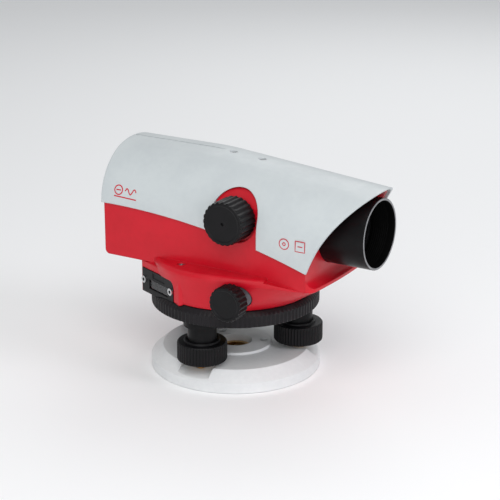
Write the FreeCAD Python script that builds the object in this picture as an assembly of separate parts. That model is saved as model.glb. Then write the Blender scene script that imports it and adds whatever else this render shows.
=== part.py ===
# Automatic level (surveying instrument), in millimetres.
# Frame: +Z up along the standing axis, +X along the line of sight towards the objective,
# origin at the centre of the base plate's underside, where the tripod screw enters.
import FreeCAD
import Part
import math
import os

# ---- fits and gaps ----
running_gap = 0.03          # radial play of a turning or sliding fit
part_gap = 0.4              # air between pieces that move past each other
thin_gap = 0.2              # air between the cover and the casting

# ---- base plate ----
plate_radius = 54.0
plate_rim_height = 6.5
plate_height = 13.0
plate_top_radius = 46.5
boss_radius = 23.0
boss_height = 14.5
boss_flank = 0.6            # slope of the boss's side
thread_radius = 7.94        # 5/8-11 tripod thread, major diameter 15.88
thread_length = 9.5
insert_radius = 10.5
recess_depth = 3.0
rim_width = 4.5
notch_width = 22.0
notch_start = 36.0
notch_drop = 6.2
plate_screw_circle = 18.0
plate_screw_radius = 2.5
spring_thickness = 1.2

# ---- foot screws ----
foot_count = 3
foot_first_angle = -90.0
foot_circle = 40.0
ball_radius = 4.2
neck_radius = 3.0
collar_radius = 8.0
foot_stud_radius = 5.0
foot_stud_top = 37.5
knob_bottom = 15.5
foot_knob_radius = 15.7
foot_knob_height = 12.5
foot_knob_ribs = 48
foot_knob_rib_depth = 0.55
shoulder_radius = 11.3
shoulder_height = 1.2
knob_floor = 3.0
collar_height = 1.6
sleeve_radius = 9.1
sleeve_bottom = 24.0

# ---- tribrach and standing axis ----
tribrach_top = 42.2
tribrach_thickness = 3.7
tribrach_disc_radius = 30.0
arm_radius = 11.5
hub_radius = 21.5
hub_top = 47.8
bush_radius = 10.0
bush_bottom = 30.0
bush_top = 68.0
spindle_radius = 7.0
spindle_flange_radius = 16.0
spindle_flange_height = 3.0

# ---- horizontal circle ----
ring_radius = 53.4
ring_bottom = 42.7
ring_rib_top = 49.5
ring_top = 52.5
ring_bevel_radius = 50.3
ring_inner_radius = 46.5
ring_ribs = 112
ring_rib_depth = 0.6
web_bottom = 44.3
web_thickness = 3.0
scale_thickness = 1.7
scale_top = 57.0

# ---- slow motion drive ----
gear_module = 1.0
wheel_teeth = 50
wheel_thickness = 3.0
tooth_width = 1.1
tooth_addendum = 0.8
tooth_dedendum = 1.2
flank_angle = 20.0
worm_pitch_radius = 4.5
worm_turns = 4
drive_height = 63.2
drive_shaft_radius = 2.5
drive_knob_radius = 11.2
drive_knob_length = 9.2
drive_knob_face = 61.0
drive_neck_radius = 5.0
drive_neck_face = 46.8      # how far in the neck of a drive knob reaches
drive_knob_flutes = 22
drive_flute_depth = 0.9
clutch_collar_height = 3.0
clutch_gap = 0.3            # air above and below the worm wheel
clutch_spring_height = 0.8
clutch_nut_height = 1.8
worm_run_out = 0.6          # plain core beyond the thread, in leads
clutch_radius = 14.0
escutcheon_radius = 7.0     # the bush's flange, flush with the drum
escutcheon_back = 36.0
escutcheon_wall = 2.0       # boss wall round the flange
bearing_radius = 5.0
bearing_inner_end = 33.0

# ---- housing ----
drum_bottom = 52.9
drum_low_radius = 50.0
drum_top_radius = 52.3
drum_bore_radius = 47.0
flare_height = 71.0
platform_height = 75.5
platform_round = 3.0
flare_angle = 76.0          # where the flare leaves the round drum, from +X
front_half_width = 36.4
front_corner_radius = 6.0
front_bow = 1.2
lip_x = 75.5
lip_top = 73.0
lip_hollow = 1.3            # how far the lip's concave band stands off the front wall halfway up
crease_height = 80.0
body_bottom = 71.0
body_rear = -74.0
body_front = 70.5
body_wall = 2.5
step_x = 45.0
step_drop = 1.5             # step down from the platform to the slope in front of it

# ---- cover ----
cover_half_width = 38.5
cover_corner_radius = 35.0
cover_corner_turn = 76.0    # degrees of the shoulder arc before the crown begins
cover_spring_height = 104.8
cover_wall = 1.4
cover_rear = -75.0
cover_front = 103.0
roof_bend_start = -20.0
roof_bend_steps = 4
roof_bend_step = 4.0
roof_fall = 0.091          # fall of the roof line per millimetre towards the front
cover_rear_edge = 105.0
cover_mid_x = -6.0
cover_mid_edge = 100.8
cover_tip_x = 71.6
cover_tip_edge = 83.2
cover_nose_x = 89.0
cover_nose_z = 114.4
arch_radius = 16.0
arch_rise = 1.3             # centre of the cover's arch above the knob's axis
groove_width = 1.4
groove_depth = 0.5
groove_end = -3.0
cover_screw_places = (-1.0, 19.5)
cover_screw_radius = 1.5
cover_screw_head_radius = 2.3
cover_screw_sink = 2.2
cover_screw_length = 6.0
screw_seat_depth = 1.0      # screw seat below the casting's surface
socket_radius = 1.1
platform_screw_x = -14.0
platform_screw_y = 41.0
platform_screw_sink = 1.6
platform_screw_head_radius = 2.6

# ---- telescope ----
sight_height = 102.4
objective_radius = 21.9
objective_bore = 20.4
objective_mouth = 100.9
objective_root = 60.0
lens_seat_radius = 18.0
lens_seat_x = 75.0
lens_thickness = 7.0
tube_radius = 18.0
tube_rear = 8.0
cell_radius = 15.0
cell_length = 16.0
cell_x = 36.0
focus_lens_radius = 12.5
focus_travel = 10.5
slot_spare = 6.0            # slot beyond the rack arm's travel
tube_flange = 2.0
tube_foot_length = 6.0
tube_foot_half_width = 10.0
eyepiece_radius = 9.5
eyepiece_front = -52.0
eyepiece_rear = -80.0
eyepiece_bore = 7.5
dioptre_radius = 13.5
dioptre_front = -76.0
dioptre_rear = -88.0
dioptre_ribs = 36
reticle_x = -46.0
reticle_radius = 11.0

# ---- focusing knob ----
focus_x = 21.7
focus_height = 109.5
focus_knob_radius = 13.7
focus_knob_face = 51.0
focus_knob_length = 17.2
knob_cap = 3.5              # solid end of a knob beyond its shaft
focus_knob_flutes = 24
focus_flute_depth = 0.9
focus_pocket_radius = 15.2
focus_pocket_floor = 33.2
pocket_wall = 1.8
focus_pit_radius = 1.0
focus_pit_depth = 1.5
focus_shaft_radius = 3.0
pinion_teeth = 14
rack_module = 0.75
rack_behind = 15.0          # rack length behind the pinion at rest
rack_ahead = 6.0            # rack length ahead of the middle of the cell
rack_outer = 24.5
rack_inner = 19.0

# ---- compensator ----
swing_height = 122.0
frame_front = -2.0
frame_rear = -38.0
frame_half_width = 18.0
frame_bottom = 73.5
frame_top = 125.0
frame_wall = 3.0
pendulum_half_width = 13.0

# ---- reading window ----
window_left = (-47.5, -35.0)
window_right = (-13.0, -49.5)
window_bottom = 50.5
window_top = 70.5
panel_thickness = 1.6
panel_sink = 1.2
panel_top = 66.3
panel_side = 0.8
glass_left = 8.7
glass_right = 29.5
glass_bottom = 54.0
glass_top = 60.1
glass_thickness = 0.8
panel_screw_height = 58.8
panel_screw_inset = 3.4     # screws from the panel's two ends
panel_screw_radius = 1.2
panel_screw_head_radius = 2.3
panel_margin = 1.2          # casting in front of the panel's front end
window_margin = 6.0         # window block beyond the panel's front end
window_depth = 22.0
window_slope = 3.0          # run per rise of the face above the panel
inlay_start = 12.7
inlay_end = 26.0
inlay_bottom = 61.9
inlay_top = 65.2
inlay_depth = 0.3

# ---- circular level ----
level_x = -20.0
level_stand = 0.6           # air between the level and the body's side
level_radius = 10.5
level_height = 8.0
vial_radius = 8.0
vial_floor = 1.5
vial_dome_radius = 30.0
mirror_foot = 2.0
mirror_rise = 8.0           # underside of the mirror's foot above the platform
mirror_roof = 1.6
mirror_thickness = 1.2


def pt(x, y, z):
    return FreeCAD.Vector(x, y, z)


def rod(radius, low, high, x=0.0, y=0.0):
    return Part.makeCylinder(radius, high - low, pt(x, y, low), pt(0, 0, 1))


def pipe(outer, inner, low, high, x=0.0, y=0.0):
    return rod(outer, low, high, x, y).cut(rod(inner, low - 1, high + 1, x, y))


def rod_x(radius, start, end, y=0.0, z=sight_height):
    return Part.makeCylinder(radius, end - start, pt(start, y, z), pt(1, 0, 0))


def pipe_x(outer, inner, start, end, y=0.0, z=sight_height):
    return rod_x(outer, start, end, y, z).cut(rod_x(inner, start - 1, end + 1, y, z))


def rod_y(radius, start, end, x, z):
    return Part.makeCylinder(radius, end - start, pt(x, start, z), pt(0, 1, 0))


def block(x0, x1, y0, y1, z0, z1):
    return Part.makeBox(x1 - x0, y1 - y0, z1 - z0, pt(x0, y0, z0))


def prism(points, along):
    corners = [pt(*p) for p in points]
    return Part.Face(Part.makePolygon(corners + corners[:1])).extrude(along)


def turned(profile):
    corners = [pt(r, 0, z) for r, z in profile]
    face = Part.Face(Part.makePolygon(corners + corners[:1]))
    return face.revolve(pt(0, 0, 0), pt(0, 0, 1), 360)


def ring_of(shape, count, first=0.0):
    copies = []
    for i in range(count):
        copy = shape.copy()
        copy.rotate(pt(0, 0, 0), pt(0, 0, 1), first + 360.0 * i / count)
        copies.append(copy)
    return copies


def lay_on_x(shape, x, y, z):
    # turns a piece built along +Z so that it lies along +X, and moves it
    shape.rotate(pt(0, 0, 0), pt(0, 1, 0), 90)
    shape.translate(pt(x, y, z))
    return shape


def lay_on_y(shape, x, y, z, side=1):
    # turns a piece built along +Z so that it lies along +Y (side 1) or -Y (side -1)
    shape.rotate(pt(0, 0, 0), pt(1, 0, 0), -90 * side)
    shape.translate(pt(x, y, z))
    return shape


def polar(radius, degrees, z=0.0):
    a = math.radians(degrees)
    return pt(radius * math.cos(a), radius * math.sin(a), z)


def arc(radius, start, end, z=0.0):
    middle = polar(radius, (start + end) / 2, z)
    return Part.Arc(polar(radius, start, z), middle, polar(radius, end, z)).toShape()


def ribbed(radius, depth, count, low, high):
    # a prism whose outline has count ribs: land arcs at the radius, rounded grooves between
    pitch = 360.0 / count
    edges = []
    for i in range(count):
        a = i * pitch
        b = a + 0.5 * pitch
        c = a + pitch
        edges.append(arc(radius, a, b))
        groove = Part.Arc(polar(radius, b), polar(radius - depth, (b + c) / 2), polar(radius, c))
        edges.append(groove.toShape())
    shape = Part.Face(Part.Wire(edges)).extrude(pt(0, 0, high - low))
    shape.translate(pt(0, 0, low))
    return shape


def fluted_knob(radius, depth, count, length, edge):
    # a grip along +Z from 0, with both rims broken by a small cone
    blank = turned([(0, 0), (radius - edge, 0), (radius, edge), (radius, length - edge),
                    (radius - edge, length), (0, length)])
    return ribbed(radius, depth, count, -1, length + 1).common(blank)


def round_the_feet(shape):
    return ring_of(shape, foot_count, foot_first_angle)


def foot_angles():
    return [foot_first_angle + 360.0 * i / foot_count for i in range(foot_count)]


def foot_place(angle):
    place = polar(foot_circle, angle)
    return place.x, place.y


# ---------------- base ----------------
def base_plate():
    body = turned([(0, 0), (plate_radius, 0), (plate_radius, plate_rim_height),
                   (plate_top_radius, plate_height), (boss_radius + boss_flank, plate_height),
                   (boss_radius, boss_height), (0, boss_height)])
    recess = pipe(plate_radius - rim_width, insert_radius + 1.5, -1, recess_depth)
    cuts = [recess, rod(insert_radius, -1, boss_height + 1)]
    cuts += round_the_feet(rod(plate_screw_radius, -1, boss_height + 1, plate_screw_circle))
    cuts += round_the_feet(rod(ball_radius + 0.05, -1, plate_height + 1, foot_circle))
    half = notch_width / 2
    far = plate_radius + 1
    floor = plate_height - notch_drop
    notch = prism([(notch_start, -half, plate_height), (far, -half, floor), (far, -half, boss_height),
                   (notch_start, -half, boss_height)], pt(0, notch_width, 0))
    cuts += round_the_feet(notch)
    return body.cut(cuts)


def thread_insert():
    sleeve = pipe(insert_radius, thread_radius, 0, thread_length)
    return sleeve


def spring_plate():
    low = recess_depth - spring_thickness
    arms = [rod(boss_radius, low, recess_depth)]
    arms += round_the_feet(block(0, foot_circle, -7, 7, low, recess_depth))
    arms += round_the_feet(rod(7, low, recess_depth, foot_circle))
    star = arms[0].fuse(arms[1:]).removeSplitter()
    holes = [rod(insert_radius + 1.7, 0, boss_height)]
    holes += round_the_feet(rod(plate_screw_radius, 0, boss_height, plate_screw_circle))
    return star.cut(holes)


def plate_screws():
    low = recess_depth - spring_thickness
    head = rod(plate_screw_radius + 1.3, low - 1.4, low, plate_screw_circle)
    shank = rod(plate_screw_radius, low, thread_length, plate_screw_circle)
    return Part.makeCompound(round_the_feet(head.fuse(shank).removeSplitter()))


def foot_spindle(angle):
    x, y = foot_place(angle)
    ball_height = recess_depth + part_gap + ball_radius
    ball = Part.makeSphere(ball_radius, pt(x, y, ball_height))
    parts = [rod(neck_radius, ball_height, knob_bottom, x, y),
             rod(collar_radius, knob_bottom - collar_height, knob_bottom, x, y),
             rod(foot_stud_radius, knob_bottom, foot_stud_top, x, y)]
    return ball.fuse(parts).removeSplitter()


def foot_knob(angle):
    x, y = foot_place(angle)
    knob = fluted_knob(foot_knob_radius, foot_knob_rib_depth, foot_knob_ribs, foot_knob_height, 0.8)
    shoulder = rod(shoulder_radius, foot_knob_height, foot_knob_height + shoulder_height)
    pocket = rod(sleeve_radius + part_gap, knob_floor, foot_knob_height + 2 * shoulder_height)
    knob = knob.fuse(shoulder).cut([pocket, rod(foot_stud_radius, -1, knob_floor + 1)])
    knob.translate(pt(x, y, knob_bottom))
    return knob


# ---------------- tribrach ----------------
def tribrach():
    low = tribrach_top - tribrach_thickness
    parts = [rod(hub_radius, low, hub_top)]
    parts += round_the_feet(block(0, foot_circle, -arm_radius, arm_radius, low, tribrach_top))
    parts += round_the_feet(rod(arm_radius, low, tribrach_top, foot_circle))
    plate = rod(tribrach_disc_radius, low, tribrach_top).fuse(parts).removeSplitter()
    holes = round_the_feet(rod(sleeve_radius, 0, hub_top, foot_circle))
    return plate.cut(holes + [rod(bush_radius, 0, hub_top + 1)])


def foot_sleeves():
    sleeve = pipe(sleeve_radius, foot_stud_radius + running_gap, sleeve_bottom, tribrach_top, foot_circle)
    return Part.makeCompound(round_the_feet(sleeve))


def collar_low():
    return drive_height - wheel_thickness / 2 - clutch_gap - clutch_collar_height


def axis_bush():
    low = collar_low()
    body = rod(bush_radius, bush_bottom, bush_top).fuse(rod(clutch_radius, low, low + clutch_collar_height))
    return body.removeSplitter().cut(rod(spindle_radius + running_gap, 0, bush_top + 1))


def clutch_spring_low():
    return drive_height + wheel_thickness / 2 + clutch_gap


def clutch_spring():
    low = clutch_spring_low()
    return pipe(clutch_radius, bush_radius, low, low + clutch_spring_height)


def clutch_nut():
    low = clutch_spring_low() + clutch_spring_height
    return pipe(clutch_radius - 0.5, bush_radius, low, low + clutch_nut_height)


# ---------------- horizontal circle ----------------
def circle_ring():
    rim = ribbed(ring_radius, ring_rib_depth, ring_ribs, ring_bottom, ring_top)
    edge = 0.5
    blank = turned([(ring_inner_radius, ring_bottom), (ring_radius - edge, ring_bottom),
                    (ring_radius, ring_bottom + edge), (ring_radius, ring_rib_top),
                    (ring_bevel_radius, ring_top), (ring_inner_radius, ring_top)])
    web = pipe(ring_inner_radius + 0.5, hub_radius + running_gap, web_bottom, web_bottom + web_thickness)
    return rim.common(blank).fuse(web).removeSplitter()


def circle_scale():
    inner = ring_inner_radius - scale_thickness
    return pipe(ring_inner_radius, inner, web_bottom + web_thickness, scale_top)


# ---------------- slow motion drive ----------------
def wheel_pitch_radius():
    return gear_module * wheel_teeth / 2.0


def drive_x():
    return wheel_pitch_radius() + worm_pitch_radius


def toothed(pitch_radius, teeth, width, addendum, dedendum, low, high):
    lean = math.tan(math.radians(flank_angle))
    root = pitch_radius - dedendum
    tip = pitch_radius + addendum
    corners = []
    for i in range(teeth):
        a = 2 * math.pi * i / teeth
        for r, half in ((root, -(width / 2 + dedendum * lean)), (tip, -(width / 2 - addendum * lean)),
                        (tip, width / 2 - addendum * lean), (root, width / 2 + dedendum * lean)):
            corners.append((r * math.cos(a) - half * math.sin(a), r * math.sin(a) + half * math.cos(a), low))
    return prism(corners, pt(0, 0, high - low))


def worm_wheel():
    half = wheel_thickness / 2
    wheel = toothed(wheel_pitch_radius(), wheel_teeth, tooth_width, tooth_addendum, tooth_dedendum,
                    drive_height - half, drive_height + half)
    return wheel.cut(rod(bush_radius + running_gap, 0, bush_top))


def worm_thread(lead):
    # one trapezoid thread swept along a helix; it starts whole turns below the middle
    lean = math.tan(math.radians(flank_angle))
    core = worm_pitch_radius - tooth_dedendum
    inner = core - 0.3
    tip = worm_pitch_radius + tooth_addendum
    low = -lead * worm_turns / 2
    wide = tooth_width / 2 + (worm_pitch_radius - inner) * lean
    slim = tooth_width / 2 - tooth_addendum * lean
    helix = Part.makeHelix(lead, lead * worm_turns, worm_pitch_radius)
    corners = [pt(inner, 0, -wide), pt(tip, 0, -slim), pt(tip, 0, slim), pt(inner, 0, wide)]
    section = Part.makePolygon(corners + corners[:1])
    thread = Part.Wire(helix.Edges).makePipeShell([section], True, True)
    thread.translate(pt(0, 0, low))
    return thread


def drive_shaft():
    lead = math.pi * gear_module
    core = worm_pitch_radius - tooth_dedendum
    reach = lead * (worm_turns / 2 + worm_run_out)
    end = drive_knob_face - knob_cap
    shaft = rod(core, -reach, reach).fuse(worm_thread(lead))
    shaft = shaft.fuse([rod(drive_shaft_radius, reach, end), rod(drive_shaft_radius, -end, -reach)])
    return lay_on_y(shaft, drive_x(), 0, drive_height)


def drive_knob(side):
    knob = fluted_knob(drive_knob_radius, drive_flute_depth, drive_knob_flutes, drive_knob_length, 0.8)
    back = drive_knob_face - drive_knob_length
    neck = drive_neck_face - back
    knob = knob.fuse(rod(drive_neck_radius, neck, 1.0)).removeSplitter()
    knob = knob.cut(rod(drive_shaft_radius, neck - 1, drive_knob_length - knob_cap))
    return lay_on_y(knob, drive_x(), side * back, drive_height, side)


def scale_path():
    # the space that the graduated ring sweeps, with air around it
    inner = ring_inner_radius - scale_thickness - part_gap
    return pipe(ring_inner_radius + part_gap, inner, 0, scale_top + part_gap)


def drive_bushes():
    drum = flared_drum()
    pieces = []
    for side in (-1, 1):
        flange = rod(escutcheon_radius, escutcheon_back, plate_radius)
        flange = lay_on_y(flange, drive_x(), 0, drive_height, side).common(drum)
        sleeve = rod(bearing_radius, bearing_inner_end, escutcheon_back + 1)
        sleeve = lay_on_y(sleeve, drive_x(), 0, drive_height, side)
        bore = rod(drive_shaft_radius + running_gap, 0, plate_radius)
        bore = lay_on_y(bore, drive_x(), 0, drive_height, side)
        pieces.append(flange.fuse(sleeve).removeSplitter().cut([bore, scale_path()]))
    return Part.makeCompound(pieces)


# ---------------- outline of cover and housing ----------------
def arch_face(inset, low, x):
    # vertical sides, shoulder arcs and one crown arc that meets them without a corner
    half = cover_half_width - inset
    turn = math.radians(cover_corner_turn)
    shoulder = cover_corner_radius - inset
    centre_y = cover_half_width - cover_corner_radius
    crown_z = cover_spring_height - centre_y * math.tan(turn)
    crown = shoulder + centre_y / math.cos(turn)

    def on_shoulder(angle, sign):
        y = centre_y + shoulder * math.cos(angle)
        return pt(x, sign * y, cover_spring_height + shoulder * math.sin(angle))

    right = Part.Arc(on_shoulder(0, -1), on_shoulder(turn / 2, -1), on_shoulder(turn, -1))
    top = Part.Arc(on_shoulder(turn, -1), pt(x, 0, crown_z + crown), on_shoulder(turn, 1))
    left = Part.Arc(on_shoulder(turn, 1), on_shoulder(turn / 2, 1), on_shoulder(0, 1))
    spring_left = pt(x, half, cover_spring_height)
    foot_left = pt(x, half, low)
    foot_right = pt(x, -half, low)
    spring_right = pt(x, -half, cover_spring_height)
    edges = [right.toShape(), top.toShape(), left.toShape()]
    edges += [Part.makeLine(spring_left, foot_left), Part.makeLine(foot_left, foot_right),
              Part.makeLine(foot_right, spring_right)]
    return Part.Face(Part.Wire(Part.__sortEdges__(edges)))


def roof_stations():
    # (x, fall so far): the roof is level, bends in small steps, then falls evenly
    stations = [(cover_rear - 10.0, 0.0), (roof_bend_start, 0.0)]
    x, fall = stations[-1]
    for i in range(1, roof_bend_steps + 1):
        fall += roof_bend_step * roof_fall * (i - 0.5) / roof_bend_steps
        x += roof_bend_step
        stations.append((x, fall))
    end = cover_front + 10.0
    stations.append((end, fall + (end - x) * roof_fall))
    return stations


def roof_fall_at(x):
    stations = roof_stations()
    for (x0, f0), (x1, f1) in zip(stations, stations[1:]):
        if x <= x1:
            return f0 + (f1 - f0) * (x - x0) / (x1 - x0)
    return stations[-1][1]


def roof_height(x, inset=0.0):
    turn = math.radians(cover_corner_turn)
    centre_y = cover_half_width - cover_corner_radius
    crown_z = cover_spring_height - centre_y * math.tan(turn)
    return crown_z + cover_corner_radius - inset + centre_y / math.cos(turn) - roof_fall_at(x)


def arch_body(inset, low, start, end):
    pieces = []
    for (x0, f0), (x1, f1) in zip(roof_stations(), roof_stations()[1:]):
        a = max(x0, start)
        b = min(x1, end)
        if b <= a:
            continue
        slope = (f1 - f0) / (x1 - x0)
        face = arch_face(inset, low, a)
        face.translate(pt(0, 0, -(f0 + slope * (a - x0))))
        pieces.append(face.extrude(pt(b - a, 0, -slope * (b - a))))
    return pieces[0].fuse(pieces[1:]) if len(pieces) > 1 else pieces[0]


def side_profile(shrink=0.0):
    # what the cover keeps in side view: curved lower edge, tip, and curved front edge
    wide = 2 * cover_half_width + 20
    y = -wide / 2
    high = roof_height(cover_rear) + 20
    rear = pt(cover_rear, y, cover_rear_edge)
    middle = pt(cover_mid_x, y, cover_mid_edge)
    tip = pt(cover_tip_x - shrink, y, cover_tip_edge)
    nose = pt(cover_nose_x - shrink, y, cover_nose_z)
    front = pt(cover_front - shrink, y, roof_height(cover_front))
    over_front = pt(front.x, y, high)
    over_rear = pt(cover_rear, y, high)
    edges = [Part.Arc(rear, middle, tip).toShape(), Part.Arc(tip, nose, front).toShape()]
    edges += [Part.makeLine(front, over_front), Part.makeLine(over_front, over_rear)]
    edges.append(Part.makeLine(over_rear, rear))
    return Part.Face(Part.Wire(edges)).extrude(pt(0, wide, 0))


def cover():
    low = cover_tip_edge - 10
    inside = arch_body(cover_wall, low - 10, cover_rear - 5, cover_front + 5)
    shell = arch_body(0, low, cover_rear, cover_front).cut(inside).common(side_profile())
    arch_height = focus_height + arch_rise
    outside = cover_half_width + 5
    arch = rod_y(arch_radius, -outside, 0, focus_x, arch_height)
    slot = block(focus_x - arch_radius, focus_x + arch_radius, -outside, 0, body_bottom, arch_height)
    top = roof_height(cover_rear)
    groove_half = groove_width / 2
    groove = block(cover_rear - 1, groove_end, -groove_half, groove_half, top - groove_depth, top + 1)
    cuts = [arch, slot, groove]
    for x in cover_screw_places:
        hole = cover_screw_head_radius + thin_gap
        cuts.append(rod(hole, roof_height(x) - cover_screw_sink, top + 5, x, 0))
    return shell.cut(cuts).removeSplitter()


def cover_screw_seat(x):
    return roof_height(x, cover_wall + thin_gap) - screw_seat_depth


def cover_screws():
    screws = []
    for x in cover_screw_places:
        seat = cover_screw_seat(x)
        head = rod(cover_screw_head_radius, seat, seat + 1.4, x, 0)
        socket = rod(socket_radius, seat + 0.5, seat + 2, x, 0)
        shank = rod(cover_screw_radius, seat - cover_screw_length, seat, x, 0)
        screws.append(head.fuse(shank).removeSplitter().cut(socket))
    return Part.makeCompound(screws)


# ---------------- housing ----------------
def flare_outline(z):
    # round drum at the rear, straight flanks that run forward to a bowed front edge
    left = polar(drum_top_radius, flare_angle, z)
    right = polar(drum_top_radius, -flare_angle, z)
    c = front_corner_radius
    front_y = front_half_width - c
    flank_x = lip_x - c
    bend = c * (1 - math.sqrt(0.5))
    rear = Part.Arc(left, pt(-drum_top_radius, 0, z), right).toShape()
    flank_right = Part.makeLine(right, pt(flank_x, -front_half_width, z))
    corner_right = Part.Arc(pt(flank_x, -front_half_width, z), pt(lip_x - bend, -front_half_width + bend, z),
                            pt(lip_x, -front_y, z)).toShape()
    bow = Part.Arc(pt(lip_x, -front_y, z), pt(lip_x + front_bow, 0, z), pt(lip_x, front_y, z)).toShape()
    corner_left = Part.Arc(pt(lip_x, front_y, z), pt(lip_x - bend, front_half_width - bend, z),
                           pt(flank_x, front_half_width, z)).toShape()
    flank_left = Part.makeLine(pt(flank_x, front_half_width, z), left)
    return Part.Wire([rear, flank_right, corner_right, bow, corner_left, flank_left])


def drum_outline(z):
    splits = [flare_angle, 360 - flare_angle, 328, 338, 382, 392, 360 + flare_angle]
    return Part.Wire([arc(drum_low_radius, a, b, z) for a, b in zip(splits, splits[1:])])


def flared_drum():
    flare = Part.makeLoft([drum_outline(drum_bottom), flare_outline(flare_height)], True, True)
    top = Part.Face(flare_outline(flare_height)).extrude(pt(0, 0, platform_height - flare_height))
    rim = [e for e in top.Edges if min(v.Z for v in e.Vertexes) > platform_height - 0.01]
    top = top.makeFillet(platform_round, rim)
    far = lip_x + 5
    wide = 2 * plate_radius
    high = platform_height + 9
    start = platform_height - step_drop
    end = flare_height - step_drop
    slope = prism([(step_x, -plate_radius, start), (far, -plate_radius, end),
                   (far, -plate_radius, high), (step_x, -plate_radius, high)], pt(0, wide, 0))
    return flare.fuse(top.cut(slope))


def panel_direction():
    dx = window_right[0] - window_left[0]
    dy = window_right[1] - window_left[1]
    length = math.hypot(dx, dy)
    return length, math.degrees(math.atan2(dy, dx))


def on_panel(shape):
    # moves a piece built with +X along the panel, -Y outwards, onto the window face
    length, angle = panel_direction()
    shape.rotate(pt(0, 0, 0), pt(0, 0, 1), angle)
    shape.translate(pt(window_left[0], window_left[1], 0))
    return shape


def window_block():
    length = panel_direction()[0] + window_margin
    run = (platform_height - window_top) * window_slope
    body = prism([(0, 0, window_bottom), (0, 0, window_top), (0, run, platform_height),
                  (0, window_depth, platform_height), (0, window_depth, window_bottom)], pt(length, 0, 0))
    corner = [e for e in body.Edges if all(abs(v.X - length) < 0.01 and v.Y < 0.01 for v in e.Vertexes)]
    return on_panel(body.makeFillet(3.0, corner))


def panel_outline(grow, low, high):
    x0 = panel_side - grow
    x1 = panel_direction()[0] - panel_side - panel_margin + grow
    body = block(x0, x1, low, high, window_bottom - grow, panel_top + grow)
    top = panel_top + grow
    corner = [e for e in body.Edges if all(v.X > x1 - 0.01 and v.Z > top - 0.01 for v in e.Vertexes)]
    return body.makeFillet(3.0, corner)


def body_half_width():
    return cover_half_width - cover_wall - thin_gap


def housing():
    inset = cover_wall + thin_gap
    half = body_half_width()
    low_box = block(body_rear, body_front, -half, half, body_bottom, cover_tip_edge + 12)
    rounded = [e for e in low_box.Edges
               if all(v.X < body_rear + 0.01 and v.Z < body_bottom + 0.01 for v in e.Vertexes)]
    low_box = low_box.makeFillet(3.0, rounded)
    upper = arch_body(inset, cover_tip_edge + 10, body_rear, body_front)
    visor = arch_body(inset, cover_tip_edge + 10, body_front - 1, cover_front).common(side_profile(2.0))
    solid = low_box.fuse([upper, visor, flared_drum(), window_block(), lip_block(), level_lug()])
    solid = solid.cut(housing_cavities())
    solid = solid.fuse(inner_bosses())
    return solid.cut(housing_bores()).removeSplitter()


def lip_block():
    # concave band that runs from the crease in the front wall down to the lip
    back = body_front - body_wall
    crease = pt(body_front, 0, crease_height)
    edge = pt(lip_x + front_bow, 0, lip_top)
    middle = pt(body_front + lip_hollow, 0, lip_top + 2 * lip_hollow)
    low = flare_height
    foot = pt(edge.x, 0, low)
    heel = pt(back, 0, low)
    head = pt(back, 0, crease_height)
    edges = [Part.Arc(crease, middle, edge).toShape(), Part.makeLine(edge, foot), Part.makeLine(foot, heel),
             Part.makeLine(heel, head), Part.makeLine(head, crease)]
    band = Part.Face(Part.Wire(edges)).extrude(pt(0, 2 * front_half_width, 0))
    band.translate(pt(0, -front_half_width, 0))
    plan = Part.Face(flare_outline(low - 1)).extrude(pt(0, 0, crease_height + 2 - low))
    return band.common(plan)


def drive_bosses():
    # inside the drum, round the drive's bushes
    bosses = []
    for side in (-1, 1):
        boss = rod(escutcheon_radius + escutcheon_wall, bearing_inner_end, plate_radius)
        boss = lay_on_y(boss, drive_x(), 0, drive_height, side)
        bosses.append(boss.common(flared_drum()).cut(scale_path()))
    return bosses


def level_y():
    return body_half_width() + level_stand + level_radius


def level_lug():
    return rod(level_radius + 1.0, drum_bottom + 9, platform_height, level_x, level_y())


def ring_path():
    # the space that the circle sweeps, with air around it
    wide = ring_radius + part_gap
    high = ring_top + part_gap
    return turned([(0, 0), (wide, 0), (wide, ring_rib_top + part_gap),
                   (ring_bevel_radius + part_gap, high), (0, high)])


def housing_cavities():
    inset = cover_wall + thin_gap + body_wall
    half = cover_half_width - inset
    floor = body_bottom + body_wall
    drum = rod(drum_bore_radius, 0, body_bottom)
    room = block(body_rear + body_wall, body_front - body_wall, -half, half, floor, cover_tip_edge + 12)
    vault = arch_body(inset, cover_tip_edge + 10, body_rear + body_wall, body_front - body_wall)
    under_visor = arch_body(inset - 1.0, cover_tip_edge - 20, body_front, cover_front + 5)
    keep = lip_block()
    hollows = [drum, room, vault, ring_path()]
    return hollows + [under_visor.cut(block(0, lip_x + 20, -60, 60, 0, crease_height + 2)).cut(keep)]


def inner_bosses():
    pocket = rod_y(focus_pocket_radius + pocket_wall, -body_half_width(), body_wall - focus_pocket_floor,
                   focus_x, focus_height)
    inset = cover_wall + thin_gap
    inside = arch_body(inset, cover_tip_edge, -30, 60)
    high = roof_height(cover_rear)
    bridge = block(cover_screw_places[0] - 5, cover_screw_places[1] + 5, -6, 6, high - 11, high)
    return [pocket.common(inside), bridge.common(inside)] + drive_bosses()


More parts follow.
